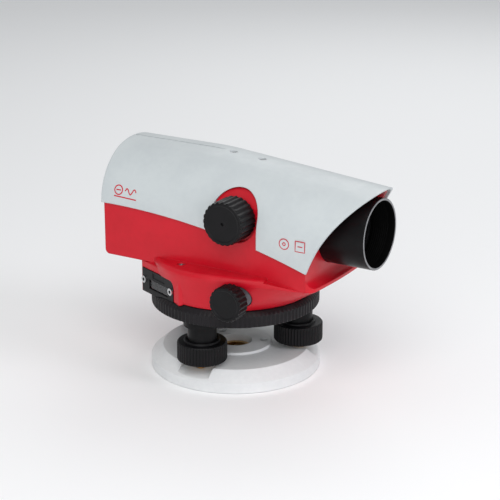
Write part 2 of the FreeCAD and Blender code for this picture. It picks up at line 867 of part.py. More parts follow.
def housing_bores():
    half = cover_half_width
    cuts = [rod_x(objective_radius, body_front - body_wall - 2, body_front + 1)]
    cuts.append(rod_x(objective_radius + part_gap, body_front, cover_front + 5))
    cuts.append(rod_x(eyepiece_radius, body_rear - 1, body_rear + body_wall + 1))
    cuts.append(rod_y(focus_pocket_radius, -half - 5, -focus_pocket_floor, focus_x, focus_height))
    cuts.append(rod_y(bearing_radius, -half, -rack_outer, focus_x, focus_height))
    for side in (-1, 1):
        recess = rod(escutcheon_radius + part_gap, escutcheon_back, plate_radius + 5)
        cuts.append(lay_on_y(recess, drive_x(), 0, drive_height, side))
        seat = rod(bearing_radius, bearing_inner_end - 5, escutcheon_back + 1)
        cuts.append(lay_on_y(seat, drive_x(), 0, drive_height, side))
    for x in cover_screw_places:
        seat = cover_screw_seat(x)
        cuts.append(rod(cover_screw_radius, seat - cover_screw_length, seat + 1, x, 0))
        cuts.append(rod(cover_screw_head_radius, seat, seat + 9, x, 0))
    cuts += window_cuts()
    seat = platform_height - platform_screw_sink
    for x, y in platform_screw_places():
        cuts.append(rod(cover_screw_radius, seat - cover_screw_length, seat + 1, x, y))
        cuts.append(rod(platform_screw_head_radius, seat, platform_height + 1, x, y))
    cuts.append(roof_opening(body_rear + 14, cover_screw_places[0] - 6))
    cuts.append(roof_opening(cover_screw_places[1] + 6, body_front - 12))
    return cuts


def roof_opening(start, end):
    return block(start, end, -16, 16, roof_height(end) - 12, roof_height(start) + 5)


def window_cuts():
    end = panel_direction()[0] - panel_side - panel_margin
    seat = on_panel(panel_outline(0.0, -3, panel_sink))
    below = on_panel(block(panel_side, end, -3, panel_sink, window_bottom - 2, window_bottom + 5))
    light = on_panel(block(glass_left, glass_right, 0, 16, glass_bottom + 0.6, glass_top - 0.6))
    screws = [on_panel(rod_y(panel_screw_radius, 0, 3, u, panel_screw_height)) for u in panel_screw_places()]
    return [seat, below, light] + screws


def panel_screw_places():
    return (panel_screw_inset, panel_direction()[0] - panel_margin - panel_screw_inset)


def platform_screw_places():
    return [(platform_screw_x, side * platform_screw_y) for side in (-1, 1)]


def platform_screws():
    seat = platform_height - platform_screw_sink
    screws = []
    for x, y in platform_screw_places():
        head = rod(platform_screw_head_radius, seat, seat + 1.1, x, y)
        head = head.cut(rod(socket_radius, seat + 0.3, seat + 2, x, y))
        shank = rod(cover_screw_radius, seat - cover_screw_length, seat + 0.3, x, y)
        screws.append(head.fuse(shank).removeSplitter())
    return Part.makeCompound(screws)


def window_panel():
    face = panel_sink - panel_thickness
    plate = panel_outline(-0.1, face, panel_sink)
    opening = block(glass_left, glass_right, -3, panel_sink + 1, glass_bottom, glass_top)
    inlay = block(inlay_start, inlay_end, face - 1, face + inlay_depth, inlay_bottom, inlay_top)
    holes = [rod_y(panel_screw_radius, -3, 5, u, panel_screw_height) for u in panel_screw_places()]
    return on_panel(plate.cut([opening, inlay] + holes)).cut(ring_path())


def window_glass():
    front = panel_sink - glass_thickness
    return on_panel(block(glass_left, glass_right, front, panel_sink, glass_bottom, glass_top))


def panel_screws():
    face = panel_sink - panel_thickness
    screws = []
    for u in panel_screw_places():
        head = rod_y(panel_screw_head_radius, face - 0.9, face, u, panel_screw_height)
        shank = rod_y(panel_screw_radius, face, 3, u, panel_screw_height)
        socket = rod_y(socket_radius, face - 1.5, face - 0.2, u, panel_screw_height)
        screws.append(on_panel(head.fuse(shank).removeSplitter().cut(socket)))
    return Part.makeCompound(screws)


def reading_prism():
    # small lens block between the window and the scale, clear of the circle
    return on_panel(block(14.0, 24.0, panel_sink, 3.6, glass_bottom + 0.6, glass_top - 0.6))


def axis_spindle():
    top = body_bottom
    low = top - spindle_flange_height
    spindle = rod(spindle_radius, bush_bottom + 1, top)
    return spindle.fuse(rod(spindle_flange_radius, low, top)).removeSplitter()


# ---------------- telescope ----------------
def objective_tube():
    body = rod_x(objective_radius, body_front - body_wall - 2, objective_mouth)
    body = body.fuse(rod_x(tube_radius + tube_flange, objective_root, body_front)).removeSplitter()
    bore = rod_x(objective_bore, lens_seat_x, objective_mouth + 1)
    return body.cut([bore, rod_x(lens_seat_radius, objective_root - 1, objective_mouth)])


def objective_lens():
    # two cemented glasses with curved faces, in one seat
    middle = lens_seat_x + lens_thickness / 2
    front = rod_x(objective_bore - 0.02, middle, lens_seat_x + lens_thickness)
    rear = rod_x(objective_bore - 0.02, lens_seat_x, middle)
    bulge = Part.makeSphere(80.0, pt(lens_seat_x + lens_thickness - 80.0, 0, sight_height))
    return Part.makeCompound([front.common(bulge), rear])


def objective_ring():
    low = lens_seat_x + lens_thickness
    return pipe_x(objective_bore, lens_seat_radius, low, low + 2.5)


def telescope_tube():
    body = pipe_x(tube_radius, cell_radius + running_gap, tube_rear, objective_root)
    flange = pipe_x(tube_radius + tube_flange, tube_radius, objective_root - 3, objective_root)
    reach = focus_travel + slot_spare
    slot = block(cell_x - reach, cell_x + reach, -tube_radius - 1, 0, rack_top() - 3.4, rack_top() - 0.2)
    low = body_bottom + body_wall
    high = sight_height - tube_radius + 1
    half = tube_foot_half_width
    starts = (tube_rear, objective_root - 10.0)
    feet = [block(x, x + tube_foot_length, -half, half, low, high) for x in starts]
    body = body.fuse([flange] + feet)
    bore = rod_x(cell_radius + running_gap, tube_rear - 1, objective_root + 1)
    return body.cut([slot, bore]).removeSplitter()


def rack_pitch_radius():
    return rack_module * pinion_teeth / 2.0


def rack_top():
    # pitch line of the rack, below the pinion
    return focus_height - rack_pitch_radius()


def focus_cell():
    half = cell_length / 2
    return pipe_x(cell_radius, focus_lens_radius, cell_x - half, cell_x + half)


def focus_lens():
    lens = rod_x(focus_lens_radius, cell_x - 2.5, cell_x + 2.5)
    dish = Part.makeSphere(40.0, pt(cell_x + 41.0, 0, sight_height))
    return lens.cut(dish)


def focus_rack():
    pitch = math.pi * rack_module
    width = tooth_width * rack_module * 0.85
    lean = math.tan(math.radians(flank_angle))
    addendum = 0.75 * rack_module
    dedendum = 1.2 * rack_module
    top = rack_top()
    low = top - dedendum
    start = focus_x - rack_behind
    end = cell_x + rack_ahead
    bar = block(start, end, -rack_outer, -rack_inner, low - 2.0, low)
    wide = width / 2 + dedendum * lean
    slim = width / 2 - addendum * lean
    first = math.ceil((start + wide - focus_x) / pitch - 0.5)
    last = math.floor((end - wide - focus_x) / pitch - 0.5)
    pieces = []
    for i in range(first, last + 1):
        x = focus_x + (i + 0.5) * pitch
        tooth = [(x - wide, -rack_outer, low), (x + wide, -rack_outer, low),
                 (x + slim, -rack_outer, top + addendum), (x - slim, -rack_outer, top + addendum)]
        pieces.append(prism(tooth, pt(0, rack_outer - rack_inner, 0)))
    arm = block(cell_x - 4, cell_x + 4, -rack_inner, -cell_radius * 0.93, low - 2.0, low - 0.2)
    arm = arm.cut(rod_x(cell_radius, cell_x - 10, cell_x + 10))
    return bar.fuse(pieces + [arm]).removeSplitter()


def focus_pinion():
    pitch_radius = rack_pitch_radius()
    width = tooth_width * rack_module * 0.85
    gear = toothed(pitch_radius, pinion_teeth, width, 0.75 * rack_module, 1.2 * rack_module,
                   0, rack_outer - rack_inner - 1)
    gear.rotate(pt(0, 0, 0), pt(0, 0, 1), 90)
    shaft = rod(focus_shaft_radius, 0.5, focus_knob_face - knob_cap - rack_inner - 0.5)
    return lay_on_y(gear.fuse(shaft).removeSplitter(), focus_x, -rack_inner - 0.5, focus_height, -1)


def focus_knob():
    knob = fluted_knob(focus_knob_radius, focus_flute_depth, focus_knob_flutes, focus_knob_length, 0.8)
    bore = rod(focus_shaft_radius, -1, focus_knob_length - knob_cap)
    pit = rod(focus_pit_radius, focus_knob_length - focus_pit_depth, focus_knob_length + 1)
    knob = knob.cut([bore, pit])
    return lay_on_y(knob, focus_x, -(focus_knob_face - focus_knob_length), focus_height, -1)


def focus_bush():
    bush = pipe(bearing_radius, focus_shaft_radius + running_gap, rack_outer + 1, focus_pocket_floor)
    return lay_on_y(bush, focus_x, 0, focus_height, -1)


def reticle_cell():
    ring = pipe_x(reticle_radius, 7.0, reticle_x - 2, reticle_x + 2)
    wall_top = sight_height + reticle_radius
    post = block(reticle_x - 2, reticle_x + 2, -8, 8, body_bottom + body_wall, sight_height - 9)
    post = post.cut(rod_x(reticle_radius, reticle_x - 5, reticle_x + 5))
    screw = rod(1.2, wall_top - 1.5, wall_top + 3, reticle_x, 0)
    return ring.fuse([post, screw]).removeSplitter()


def reticle_glass():
    return rod_x(7.0, reticle_x - 1, reticle_x + 1)


def eyepiece_tube():
    body = rod_x(eyepiece_radius, eyepiece_rear, eyepiece_front)
    flange = rod_x(eyepiece_radius + 3, body_rear + body_wall, body_rear + body_wall + 2)
    cuts = [rod_x(eyepiece_bore + running_gap, eyepiece_rear - 1, eyepiece_front - 4),
            rod_x(6.0, eyepiece_rear, eyepiece_front + 1)]
    return body.fuse(flange).removeSplitter().cut(cuts)


def eyepiece_cell():
    return pipe_x(eyepiece_bore, 5.5, eyepiece_rear + 2, eyepiece_rear + 16)


def eyepiece_lenses():
    rear = rod_x(5.5, eyepiece_rear + 3, eyepiece_rear + 6)
    front = rod_x(5.5, eyepiece_rear + 10, eyepiece_rear + 13)
    return Part.makeCompound([rear, front])


def dioptre_ring():
    length = dioptre_front - dioptre_rear
    ring = fluted_knob(dioptre_radius, 0.5, dioptre_ribs, length, 1.0)
    bore = rod(eyepiece_radius + running_gap, eyepiece_rear - dioptre_rear - part_gap, length + 1)
    eye = rod(6.5, -1, length + 1)
    ring = ring.cut([bore, eye])
    return lay_on_x(ring, dioptre_rear, 0, sight_height)


# ---------------- compensator ----------------
def compensator_frame():
    w = frame_half_width
    shell = block(frame_rear, frame_front, -w, w, frame_bottom, frame_top)
    room = w - frame_wall
    floor = frame_bottom + frame_wall
    inner = block(frame_rear - 1, frame_front + 1, -room, room, floor, frame_top - frame_wall)
    return shell.cut(inner)


def fixed_prisms():
    # front and rear prism on brackets above the swinging prism; light passes through both
    low = sight_height - 7
    high = sight_height + 7
    pieces = []
    for x0, x1 in ((frame_front - 11, frame_front - 1), (frame_rear + 1, frame_rear + 11)):
        lean = x0 + 2 if x1 > -20 else x1 - 2
        flat = x1 if x1 > -20 else x0
        side = [(flat, -7, low), (flat, -7, high), (lean, -7, high), (x0 if x1 > -20 else x1, -7, low)]
        pieces.append(prism(side, pt(0, 14, 0)))
    return Part.makeCompound(pieces)


def prism_bridge():
    # bracket that carries the fixed prisms from the frame's roof
    low = sight_height + 7
    parts = [block(frame_rear + 1, frame_rear + 9, -6, 6, low, frame_top - frame_wall),
             block(frame_front - 9, frame_front - 1, -6, 6, low, frame_top - frame_wall)]
    return Part.makeCompound(parts)


def pendulum():
    w = pendulum_half_width
    middle = (frame_front + frame_rear) / 2
    cheeks = [block(middle - 4, middle + 4, s * w - 1.5, s * w + 1.5, 80, sight_height + 9) for s in (-1, 1)]
    table = block(middle - 8, middle + 8, -w - 1.5, w + 1.5, 80, 83)
    vane = block(middle - 5, middle + 5, -1.0, 1.0, frame_bottom + frame_wall + 0.8, 80)
    return table.fuse(cheeks + [vane]).removeSplitter()


def pendulum_prism():
    middle = (frame_front + frame_rear) / 2
    return prism([(middle - 7, -7, 83), (middle + 7, -7, 83), (middle, -7, 90)], pt(0, 14, 0))


def suspension_tapes():
    middle = (frame_front + frame_rear) / 2
    tapes = []
    for x in (middle - 3, middle + 3):
        for s in (-1, 1):
            y = s * pendulum_half_width
            top = frame_top - frame_wall - 0.5
            tapes.append(block(x - 0.8, x + 0.8, y - 0.15, y + 0.15, sight_height + 9, top))
    return Part.makeCompound(tapes)


def damper_magnets():
    middle = (frame_front + frame_rear) / 2
    floor = frame_bottom + frame_wall
    magnets = [block(middle - 5, middle + 5, low, low + 4.0, floor, floor + 2.6) for low in (-5.6, 1.6)]
    return Part.makeCompound(magnets)


# ---------------- circular level ----------------
def level_housing():
    top = platform_height + level_height
    cup = rod(level_radius, platform_height, top, level_x, level_y())
    return cup.cut(rod(vial_radius, platform_height + vial_floor, top + 1, level_x, level_y()))


def level_vial():
    low = platform_height + vial_floor
    top = platform_height + level_height - 1.0
    body = rod(vial_radius, low, top, level_x, level_y())
    dome = Part.makeSphere(vial_dome_radius, pt(level_x, level_y(), top - vial_dome_radius + 0.2))
    return body.common(dome)


def mirror_holder():
    wall = body_half_width()
    foot_face = wall + mirror_foot
    w = level_radius - 1
    top = cover_mid_edge - 2
    low = platform_height + mirror_rise
    front = level_y() + level_radius
    foot = block(level_x - w, level_x + w, wall, foot_face, low, top)
    roof = block(level_x - w, level_x + w, foot_face, front, top - mirror_roof, top)
    ribs = []
    for x in (level_x - w, level_x + w - 1.5):
        rib = [(x, foot_face, low), (x, front, top - mirror_roof), (x, foot_face, top - mirror_roof)]
        ribs.append(prism(rib, pt(1.5, 0, 0)))
    return foot.fuse([roof] + ribs).removeSplitter()


def level_mirror():
    wall = body_half_width() + mirror_foot
    w = level_radius - 3
    top = cover_mid_edge - 2 - mirror_roof
    low = platform_height + mirror_rise + 2
    front = level_y() + level_radius
    return prism([(level_x - w, wall, low), (level_x - w, wall + mirror_thickness, low),
                  (level_x - w, front - 3, top), (level_x - w, front - 3 - mirror_thickness - 0.4, top)],
                 pt(2 * w, 0, 0))


def parts():
    table = {
        "base_plate": base_plate(),
        "thread_insert": thread_insert(),
        "spring_plate": spring_plate(),
        "plate_screws": plate_screws(),
        "tribrach": tribrach(),
        "foot_sleeves": foot_sleeves(),
        "axis_bush": axis_bush(),
        "clutch_spring": clutch_spring(),
        "clutch_nut": clutch_nut(),
        "circle_ring": circle_ring(),
        "circle_scale": circle_scale(),
        "worm_wheel": worm_wheel(),
        "drive_shaft": drive_shaft(),
        "drive_knob_right": drive_knob(-1),
        "drive_knob_left": drive_knob(1),
        "drive_bushes": drive_bushes(),
        "housing": housing(),
        "axis_spindle": axis_spindle(),
        "cover": cover(),
        "cover_screws": cover_screws(),
        "platform_screws": platform_screws(),
        "window_panel": window_panel(),
        "window_glass": window_glass(),
        "panel_screws": panel_screws(),
        "reading_prism": reading_prism(),
        "objective_tube": objective_tube(),
        "objective_lens": objective_lens(),
        "objective_ring": objective_ring(),
        "telescope_tube": telescope_tube(),
        "focus_cell": focus_cell(),
        "focus_lens": focus_lens(),
        "focus_rack": focus_rack(),
        "focus_pinion": focus_pinion(),
        "focus_knob": focus_knob(),
        "focus_bush": focus_bush(),
        "reticle_cell": reticle_cell(),
        "reticle_glass": reticle_glass(),
        "eyepiece_tube": eyepiece_tube(),
        "eyepiece_cell": eyepiece_cell(),
        "eyepiece_lenses": eyepiece_lenses(),
        "dioptre_ring": dioptre_ring(),
        "compensator_frame": compensator_frame(),
        "prism_bridge": prism_bridge(),
        "fixed_prisms": fixed_prisms(),
        "pendulum": pendulum(),
        "pendulum_prism": pendulum_prism(),
        "suspension_tapes": suspension_tapes(),
        "damper_magnets": damper_magnets(),
        "level_housing": level_housing(),
        "level_vial": level_vial(),
        "mirror_holder": mirror_holder(),
        "level_mirror": level_mirror(),
    }
    for number, angle in enumerate(foot_angles(), 1):
        table["foot_spindle_%d" % number] = foot_spindle(angle)
        table["foot_knob_%d" % number] = foot_knob(angle)
    return table


os.makedirs("parts", exist_ok=True)
for name, shape in parts().items():
    shape.exportStep("parts/%s.step" % name)
    state = "valid" if shape.isValid() else "NOT VALID"
    print(name, len(shape.Solids), "solid", round(shape.Volume, 1), "mm3", state)
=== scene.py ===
import math
import bmesh
import bpy
import numpy as np
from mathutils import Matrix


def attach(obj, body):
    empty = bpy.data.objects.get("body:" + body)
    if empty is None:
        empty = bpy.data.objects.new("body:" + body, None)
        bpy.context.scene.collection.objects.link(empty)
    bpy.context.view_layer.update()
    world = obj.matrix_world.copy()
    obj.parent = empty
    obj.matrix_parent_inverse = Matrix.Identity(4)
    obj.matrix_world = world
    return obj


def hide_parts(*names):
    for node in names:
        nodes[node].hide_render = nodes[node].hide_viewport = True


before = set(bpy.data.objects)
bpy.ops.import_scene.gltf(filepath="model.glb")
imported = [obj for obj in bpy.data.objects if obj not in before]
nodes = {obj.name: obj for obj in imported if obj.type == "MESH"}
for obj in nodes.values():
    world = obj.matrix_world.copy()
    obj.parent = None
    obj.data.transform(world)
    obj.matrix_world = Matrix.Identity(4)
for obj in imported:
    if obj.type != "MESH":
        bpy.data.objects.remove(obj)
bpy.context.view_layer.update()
mm = 0.001
print("frame loaded:", len(nodes), "nodes")


# ---- camera, floor and light ----
camera = {"target": (10.64, 0.0, 67.59), "azimuth": 30.955, "elevation": 19.236, "distance": 1024.0,
          "lens": 117.3, "shiftUp": 0.028}


def makeCamera():
    a = math.radians(camera["azimuth"])
    e = math.radians(camera["elevation"])
    back = np.array([math.sin(a) * math.cos(e), -math.cos(a) * math.cos(e), math.sin(e)])
    data = bpy.data.cameras.new("studioCamera")
    data.lens = camera["lens"]
    data.sensor_width = 36.0
    data.shift_y = camera["shiftUp"]
    data.clip_start, data.clip_end = 0.01, 20.0
    data.dof.use_dof = False
    cam = bpy.data.objects.new("studioCamera", data)
    cam.location = (np.array(camera["target"]) + back * camera["distance"]) * mm
    cam.rotation_euler = (math.pi / 2 - e, 0.0, a)
    bpy.context.scene.collection.objects.link(cam)
    bpy.context.scene.camera = cam


# name, place in metres, size in metres, power in watts, colour
lights = (("keyLight", (0.35, -0.7, 0.95), 0.9, 5.5, (1.0, 0.985, 0.96)),
          ("fillLight", (0.45, -1.1, 0.2), 1.2, 4.5, (0.96, 0.98, 1.0)),
          ("rimLight", (-0.2, 0.9, 0.8), 0.8, 2.5, (1.0, 1.0, 1.0)),
          ("sideLight", (1.1, 0.05, 0.6), 0.5, 4.0, (0.97, 0.95, 1.0)))
lightAim = (0.01, 0.0, 0.08)
stage = {"worldColour": (0.93, 0.95, 0.97, 1.0), "worldStrength": 0.5, "floorSize": 4.0,
         "floorDrop": 0.0002, "paper": (0.94, 0.945, 0.95, 1.0), "paperRough": 0.85}


def softLight(name, place, size, power, colour):
    # an area light that looks at the middle of the instrument
    data = bpy.data.lights.new(name, "AREA")
    data.shape = "DISK"
    data.size = size
    data.energy = power
    data.color = colour
    lamp = bpy.data.objects.new(name, data)
    aim = np.array(lightAim) - np.array(place)
    aim = aim / np.linalg.norm(aim)
    lamp.location = place
    lamp.rotation_euler = (math.acos(-aim[2]), 0.0, math.atan2(aim[0], -aim[1]) + math.pi)
    bpy.context.scene.collection.objects.link(lamp)


def makeStage():
    for name, place, size, power, colour in lights:
        softLight(name, place, size, power, colour)
    world = bpy.data.worlds.new("studioWorld")
    bpy.context.scene.world = world
    world.use_nodes = True
    back = world.node_tree.nodes["Background"]
    back.inputs["Color"].default_value = stage["worldColour"]
    back.inputs["Strength"].default_value = stage["worldStrength"]
    half = stage["floorSize"] / 2
    mesh = bpy.data.meshes.new("floor")
    low = -stage["floorDrop"]
    mesh.from_pydata([(-half, -half, low), (half, -half, low), (half, half, low), (-half, half, low)], [],
                     [(0, 1, 2, 3)])
    floor = bpy.data.objects.new("floor", mesh)
    bpy.context.scene.collection.objects.link(floor)
    paper = bpy.data.materials.new("paperFloor")
    paper.use_nodes = True
    shader = paper.node_tree.nodes["Principled BSDF"]
    shader.inputs["Base Color"].default_value = stage["paper"]
    shader.inputs["Roughness"].default_value = stage["paperRough"]
    mesh.materials.append(paper)
    bpy.context.scene.view_settings.view_transform = "Standard"


makeCamera()
makeStage()
print("camera and light ready")


# ---- shader node groups, each built once ----
def startGroup(name, inputs, outputs):
    group = bpy.data.node_groups.new(name, "ShaderNodeTree")
    for label, kind, value in inputs:
        group.interface.new_socket(name=label, in_out="INPUT",
                                   socket_type="NodeSocket" + kind).default_value = value
    for label, kind in outputs:
        group.interface.new_socket(name=label, in_out="OUTPUT", socket_type="NodeSocket" + kind)
    return group, group.nodes.new("NodeGroupInput"), group.nodes.new("NodeGroupOutput")


def addNode(tree, kind, **settings):
    node = tree.nodes.new("ShaderNode" + kind)
    for key, value in settings.items():
        setattr(node, key, value)
    return node


def addMath(tree, operation, first, second):
    # first and second are sockets or plain numbers
    node = addNode(tree, "Math", operation=operation)
    for socket, value in zip(node.inputs, (first, second)):
        if isinstance(value, (int, float)):
            socket.default_value = value
        else:
            tree.links.new(value, socket)
    return node.outputs[0]


def addRange(tree, value, low, high, toLow, toHigh):
    node = addNode(tree, "MapRange", interpolation_type="SMOOTHSTEP")
    tree.links.new(value, node.inputs["Value"])
    for label, number in (("From Min", low), ("From Max", high), ("To Min", toLow), ("To Max", toHigh)):
        node.inputs[label].default_value = number
    return node.outputs["Result"]


def addNoise(tree, scale, detail, vector=None, stretch=None):
    place = addNode(tree, "TexCoord").outputs["Object"] if vector is None else vector
    if stretch:
        turn = addNode(tree, "Mapping")
        turn.inputs["Scale"].default_value = stretch
        tree.links.new(place, turn.inputs["Vector"])
        place = turn.outputs["Vector"]
    noise = addNode(tree, "TexNoise")
    tree.links.new(place, noise.inputs["Vector"])
    noise.inputs["Detail"].default_value = detail
    if isinstance(scale, (int, float)):
        noise.inputs["Scale"].default_value = scale
    else:
        tree.links.new(scale, noise.inputs["Scale"])
    return noise.outputs["Fac"]


def mottleGroup():
    # broad, faint change of shade: two noises of different size, centred on nought
    group, into, out = startGroup("mottle", [("Scale", "Float", 60.0)], [("Shade", "Float")])
    broad = addNoise(group, into.outputs["Scale"], 3.0)
    fine = addNoise(group, addMath(group, "MULTIPLY", into.outputs["Scale"], 7.0), 2.0)
    both = addMath(group, "ADD", addMath(group, "MULTIPLY", broad, 0.7),
                   addMath(group, "MULTIPLY", fine, 0.3))
    group.links.new(addRange(group, both, 0.3, 0.7, 0.0, 1.0), out.inputs["Shade"])
    return group


def orangePeelGroup():
    # sprayed paint: low rolling bumps with a fine tooth on top
    group, into, out = startGroup("orangePeel", [("Scale", "Float", 900.0), ("Tooth", "Float", 0.35)],
                                  [("Height", "Float")])
    roll = addNoise(group, into.outputs["Scale"], 1.0)
    tooth = addNoise(group, addMath(group, "MULTIPLY", into.outputs["Scale"], 4.0), 2.0)
    fine = addMath(group, "MULTIPLY", tooth, into.outputs["Tooth"])
    group.links.new(addMath(group, "ADD", roll, fine), out.inputs["Height"])
    return group


def edgeRubAndHighlightGroup():
    # where convex edges are rubbed and lightened: wear together with a painted edge highlight; sharpness of
    # the surface, broken up by noise
    group, into, out = startGroup("edgeRubAndHighlight", [("Amount", "Float", 1.0), ("Scale", "Float", 400.0)],
                                  [("Mask", "Float")])
    sharp = addRange(group, addNode(group, "NewGeometry").outputs["Pointiness"], 0.6, 0.72, 0.0, 1.0)
    broken = addRange(group, addNoise(group, into.outputs["Scale"], 4.0), 0.42, 0.62, 0.0, 1.0)
    both = addMath(group, "MULTIPLY", sharp, broken)
    group.links.new(addMath(group, "MULTIPLY", both, into.outputs["Amount"]), out.inputs["Mask"])
    return group


def settledDustGroup():
    # dust that lies where the surface looks up, in soft patches
    group, into, out = startGroup("settledDust", [("Amount", "Float", 0.2)], [("Mask", "Float")])
    split = addNode(group, "SeparateXYZ")
    group.links.new(addNode(group, "NewGeometry").outputs["Normal"], split.inputs[0])
    up = addRange(group, split.outputs["Z"], 0.35, 0.95, 0.0, 1.0)
    patches = addRange(group, addNoise(group, 130.0, 5.0), 0.38, 0.68, 0.15, 1.0)
    both = addMath(group, "MULTIPLY", up, patches)
    group.links.new(addMath(group, "MULTIPLY", both, into.outputs["Amount"]), out.inputs["Mask"])
    return group


def handledGroup():
    # gloss that changes where hands and cloths have been: roughness between two values
    group, into, out = startGroup("handled", [("Low", "Float", 0.3), ("High", "Float", 0.5),
                                              ("Scale", "Float", 90.0)],
                                  [("Roughness", "Float")])
    patch = addRange(group, addNoise(group, into.outputs["Scale"], 5.0), 0.35, 0.65, 0.0, 1.0)
    span = addMath(group, "SUBTRACT", into.outputs["High"], into.outputs["Low"])
    group.links.new(addMath(group, "ADD", into.outputs["Low"], addMath(group, "MULTIPLY", patch, span)),
                    out.inputs["Roughness"])
    return group


def turningMarksGroup():
    # fine tool marks: noise drawn out along one direction
    group, into, out = startGroup("turningMarks", [("Scale", "Float", 300.0)], [("Height", "Float")])
    lines = addNoise(group, into.outputs["Scale"], 3.0, stretch=(0.08, 0.08, 6.0))
    group.links.new(lines, out.inputs["Height"])
    return group


groups = {g.name: g for g in (mottleGroup(), orangePeelGroup(), edgeRubAndHighlightGroup(),
                              settledDustGroup(), handledGroup(), turningMarksGroup())}


def placeGroup(tree, name, **values):
    node = addNode(tree, "Group", node_tree=groups[name])
    for label, value in values.items():
        node.inputs[label].default_value = value
    return node


# ---- materials ----
def mixColour(tree, mask, first, second):
    # first and second are sockets or colours
    node = addNode(tree, "Mix", data_type="RGBA")
    tree.links.new(mask, node.inputs["Factor"])
    for socket, value in zip((node.inputs[6], node.inputs[7]), (first, second)):
        if isinstance(value, (tuple, list)):
            socket.default_value = (*value, 1.0)
        else:
            tree.links.new(value, socket)
    return node.outputs[2]


# size of the noise that breaks up the rubbed edges and their painted highlight
rubHighlightScale = 500.0
handledScale = 90.0
bumpDepth = 0.00004         # metres
coatRoughness = 0.2
dustColour = (0.62, 0.6, 0.56)


def finish(name, look):
    # one finish: two shades mottled together, rubbed edges lightened with a painted highlight, dust, handled
    # gloss and a height for bumps
    material = bpy.data.materials.new(name)
    material.use_nodes = True
    tree = material.node_tree
    shader = tree.nodes["Principled BSDF"]
    mottle = placeGroup(tree, "mottle", Scale=look.get("mottleScale", 60.0))
    colour = mixColour(tree, mottle.outputs["Shade"], look["colour"], look["shade"])
    # convex edges painted lighter: rubbed wear and a painted edge highlight
    if look.get("rubAndHighlight"):
        rubAndHighlight = placeGroup(tree, "edgeRubAndHighlight", Amount=look["rubAndHighlight"], Scale=rubHighlightScale)
        colour = mixColour(tree, rubAndHighlight.outputs["Mask"], colour, look["rubHighlightColour"])
    if look.get("dust"):
        dust = placeGroup(tree, "settledDust", Amount=look["dust"])
        colour = mixColour(tree, dust.outputs["Mask"], colour, dustColour)
    tree.links.new(colour, shader.inputs["Base Color"])
    gloss = placeGroup(tree, "handled", Low=look["rough"][0], High=look["rough"][1], Scale=handledScale)
    tree.links.new(gloss.outputs["Roughness"], shader.inputs["Roughness"])
    if look.get("marks"):
        height = placeGroup(tree, "turningMarks", Scale=look["marks"]).outputs["Height"]
    else:
        height = placeGroup(tree, "orangePeel", Scale=look["peel"],
                            Tooth=look.get("tooth", 0.35)).outputs["Height"]
    bump = addNode(tree, "Bump")
    bump.inputs["Strength"].default_value = look["bump"]
    bump.inputs["Distance"].default_value = bumpDepth
    tree.links.new(height, bump.inputs["Height"])
    if look.get("soften"):
        # sharp cast and turned edges catch the light as if rounded
        rounded = addNode(tree, "Bevel", samples=6)
        rounded.inputs["Radius"].default_value = look["soften"]
        tree.links.new(rounded.outputs["Normal"], bump.inputs["Normal"])
    tree.links.new(bump.outputs["Normal"], shader.inputs["Normal"])
    shader.inputs["Metallic"].default_value = look.get("metal", 0.0)
    shader.inputs["Coat Weight"].default_value = look.get("coat", 0.0)
    shader.inputs["Coat Roughness"].default_value = coatRoughness
    shader.inputs["Specular IOR Level"].default_value = look.get("specular", 0.5)
    return material


def glassFinish(name, look):
    material = bpy.data.materials.new(name)
    material.use_nodes = True
    tree = material.node_tree
    shader = tree.nodes["Principled BSDF"]
    shader.inputs["Base Color"].default_value = (*look["colour"], 1.0)
    shader.inputs["Transmission Weight"].default_value = look["clear"]
    shader.inputs["IOR"].default_value = look["ior"]
    shader.inputs["Coat Weight"].default_value = look.get("coat", 0.0)
    gloss = placeGroup(tree, "handled", Low=0.01, High=look["smear"], Scale=200.0)
    tree.links.new(gloss.outputs["Roughness"], shader.inputs["Roughness"])
    return material


# each rub colour is a lighter tone painted on convex edges: part rubbed wear, part painted highlight
redLook = {"colour": (0.58, 0.004, 0.017), "shade": (0.52, 0.0035, 0.014), "mottleScale": 45.0,
           "rough": (0.3, 0.42), "peel": 700.0, "bump": 0.22, "rubAndHighlight": 0.2, "rubHighlightColour": (0.75, 0.2, 0.2),
           "dust": 0.01, "coat": 0.08, "specular": 0.3, "soften": 0.0009}
greyLook = {"colour": (0.56, 0.6, 0.61), "shade": (0.52, 0.56, 0.575), "mottleScale": 38.0,
            "rough": (0.38, 0.5), "peel": 1100.0, "bump": 0.3, "tooth": 0.6, "rubAndHighlight": 0.4,
            "rubHighlightColour": (0.8, 0.81, 0.81), "dust": 0.02, "soften": 0.0006}
plateLook = {"colour": (0.74, 0.75, 0.755), "shade": (0.68, 0.69, 0.7), "mottleScale": 55.0,
             "rough": (0.4, 0.52), "peel": 1300.0, "bump": 0.35, "tooth": 0.5, "rubAndHighlight": 0.4,
             "rubHighlightColour": (0.85, 0.85, 0.85), "dust": 0.03, "soften": 0.0007}
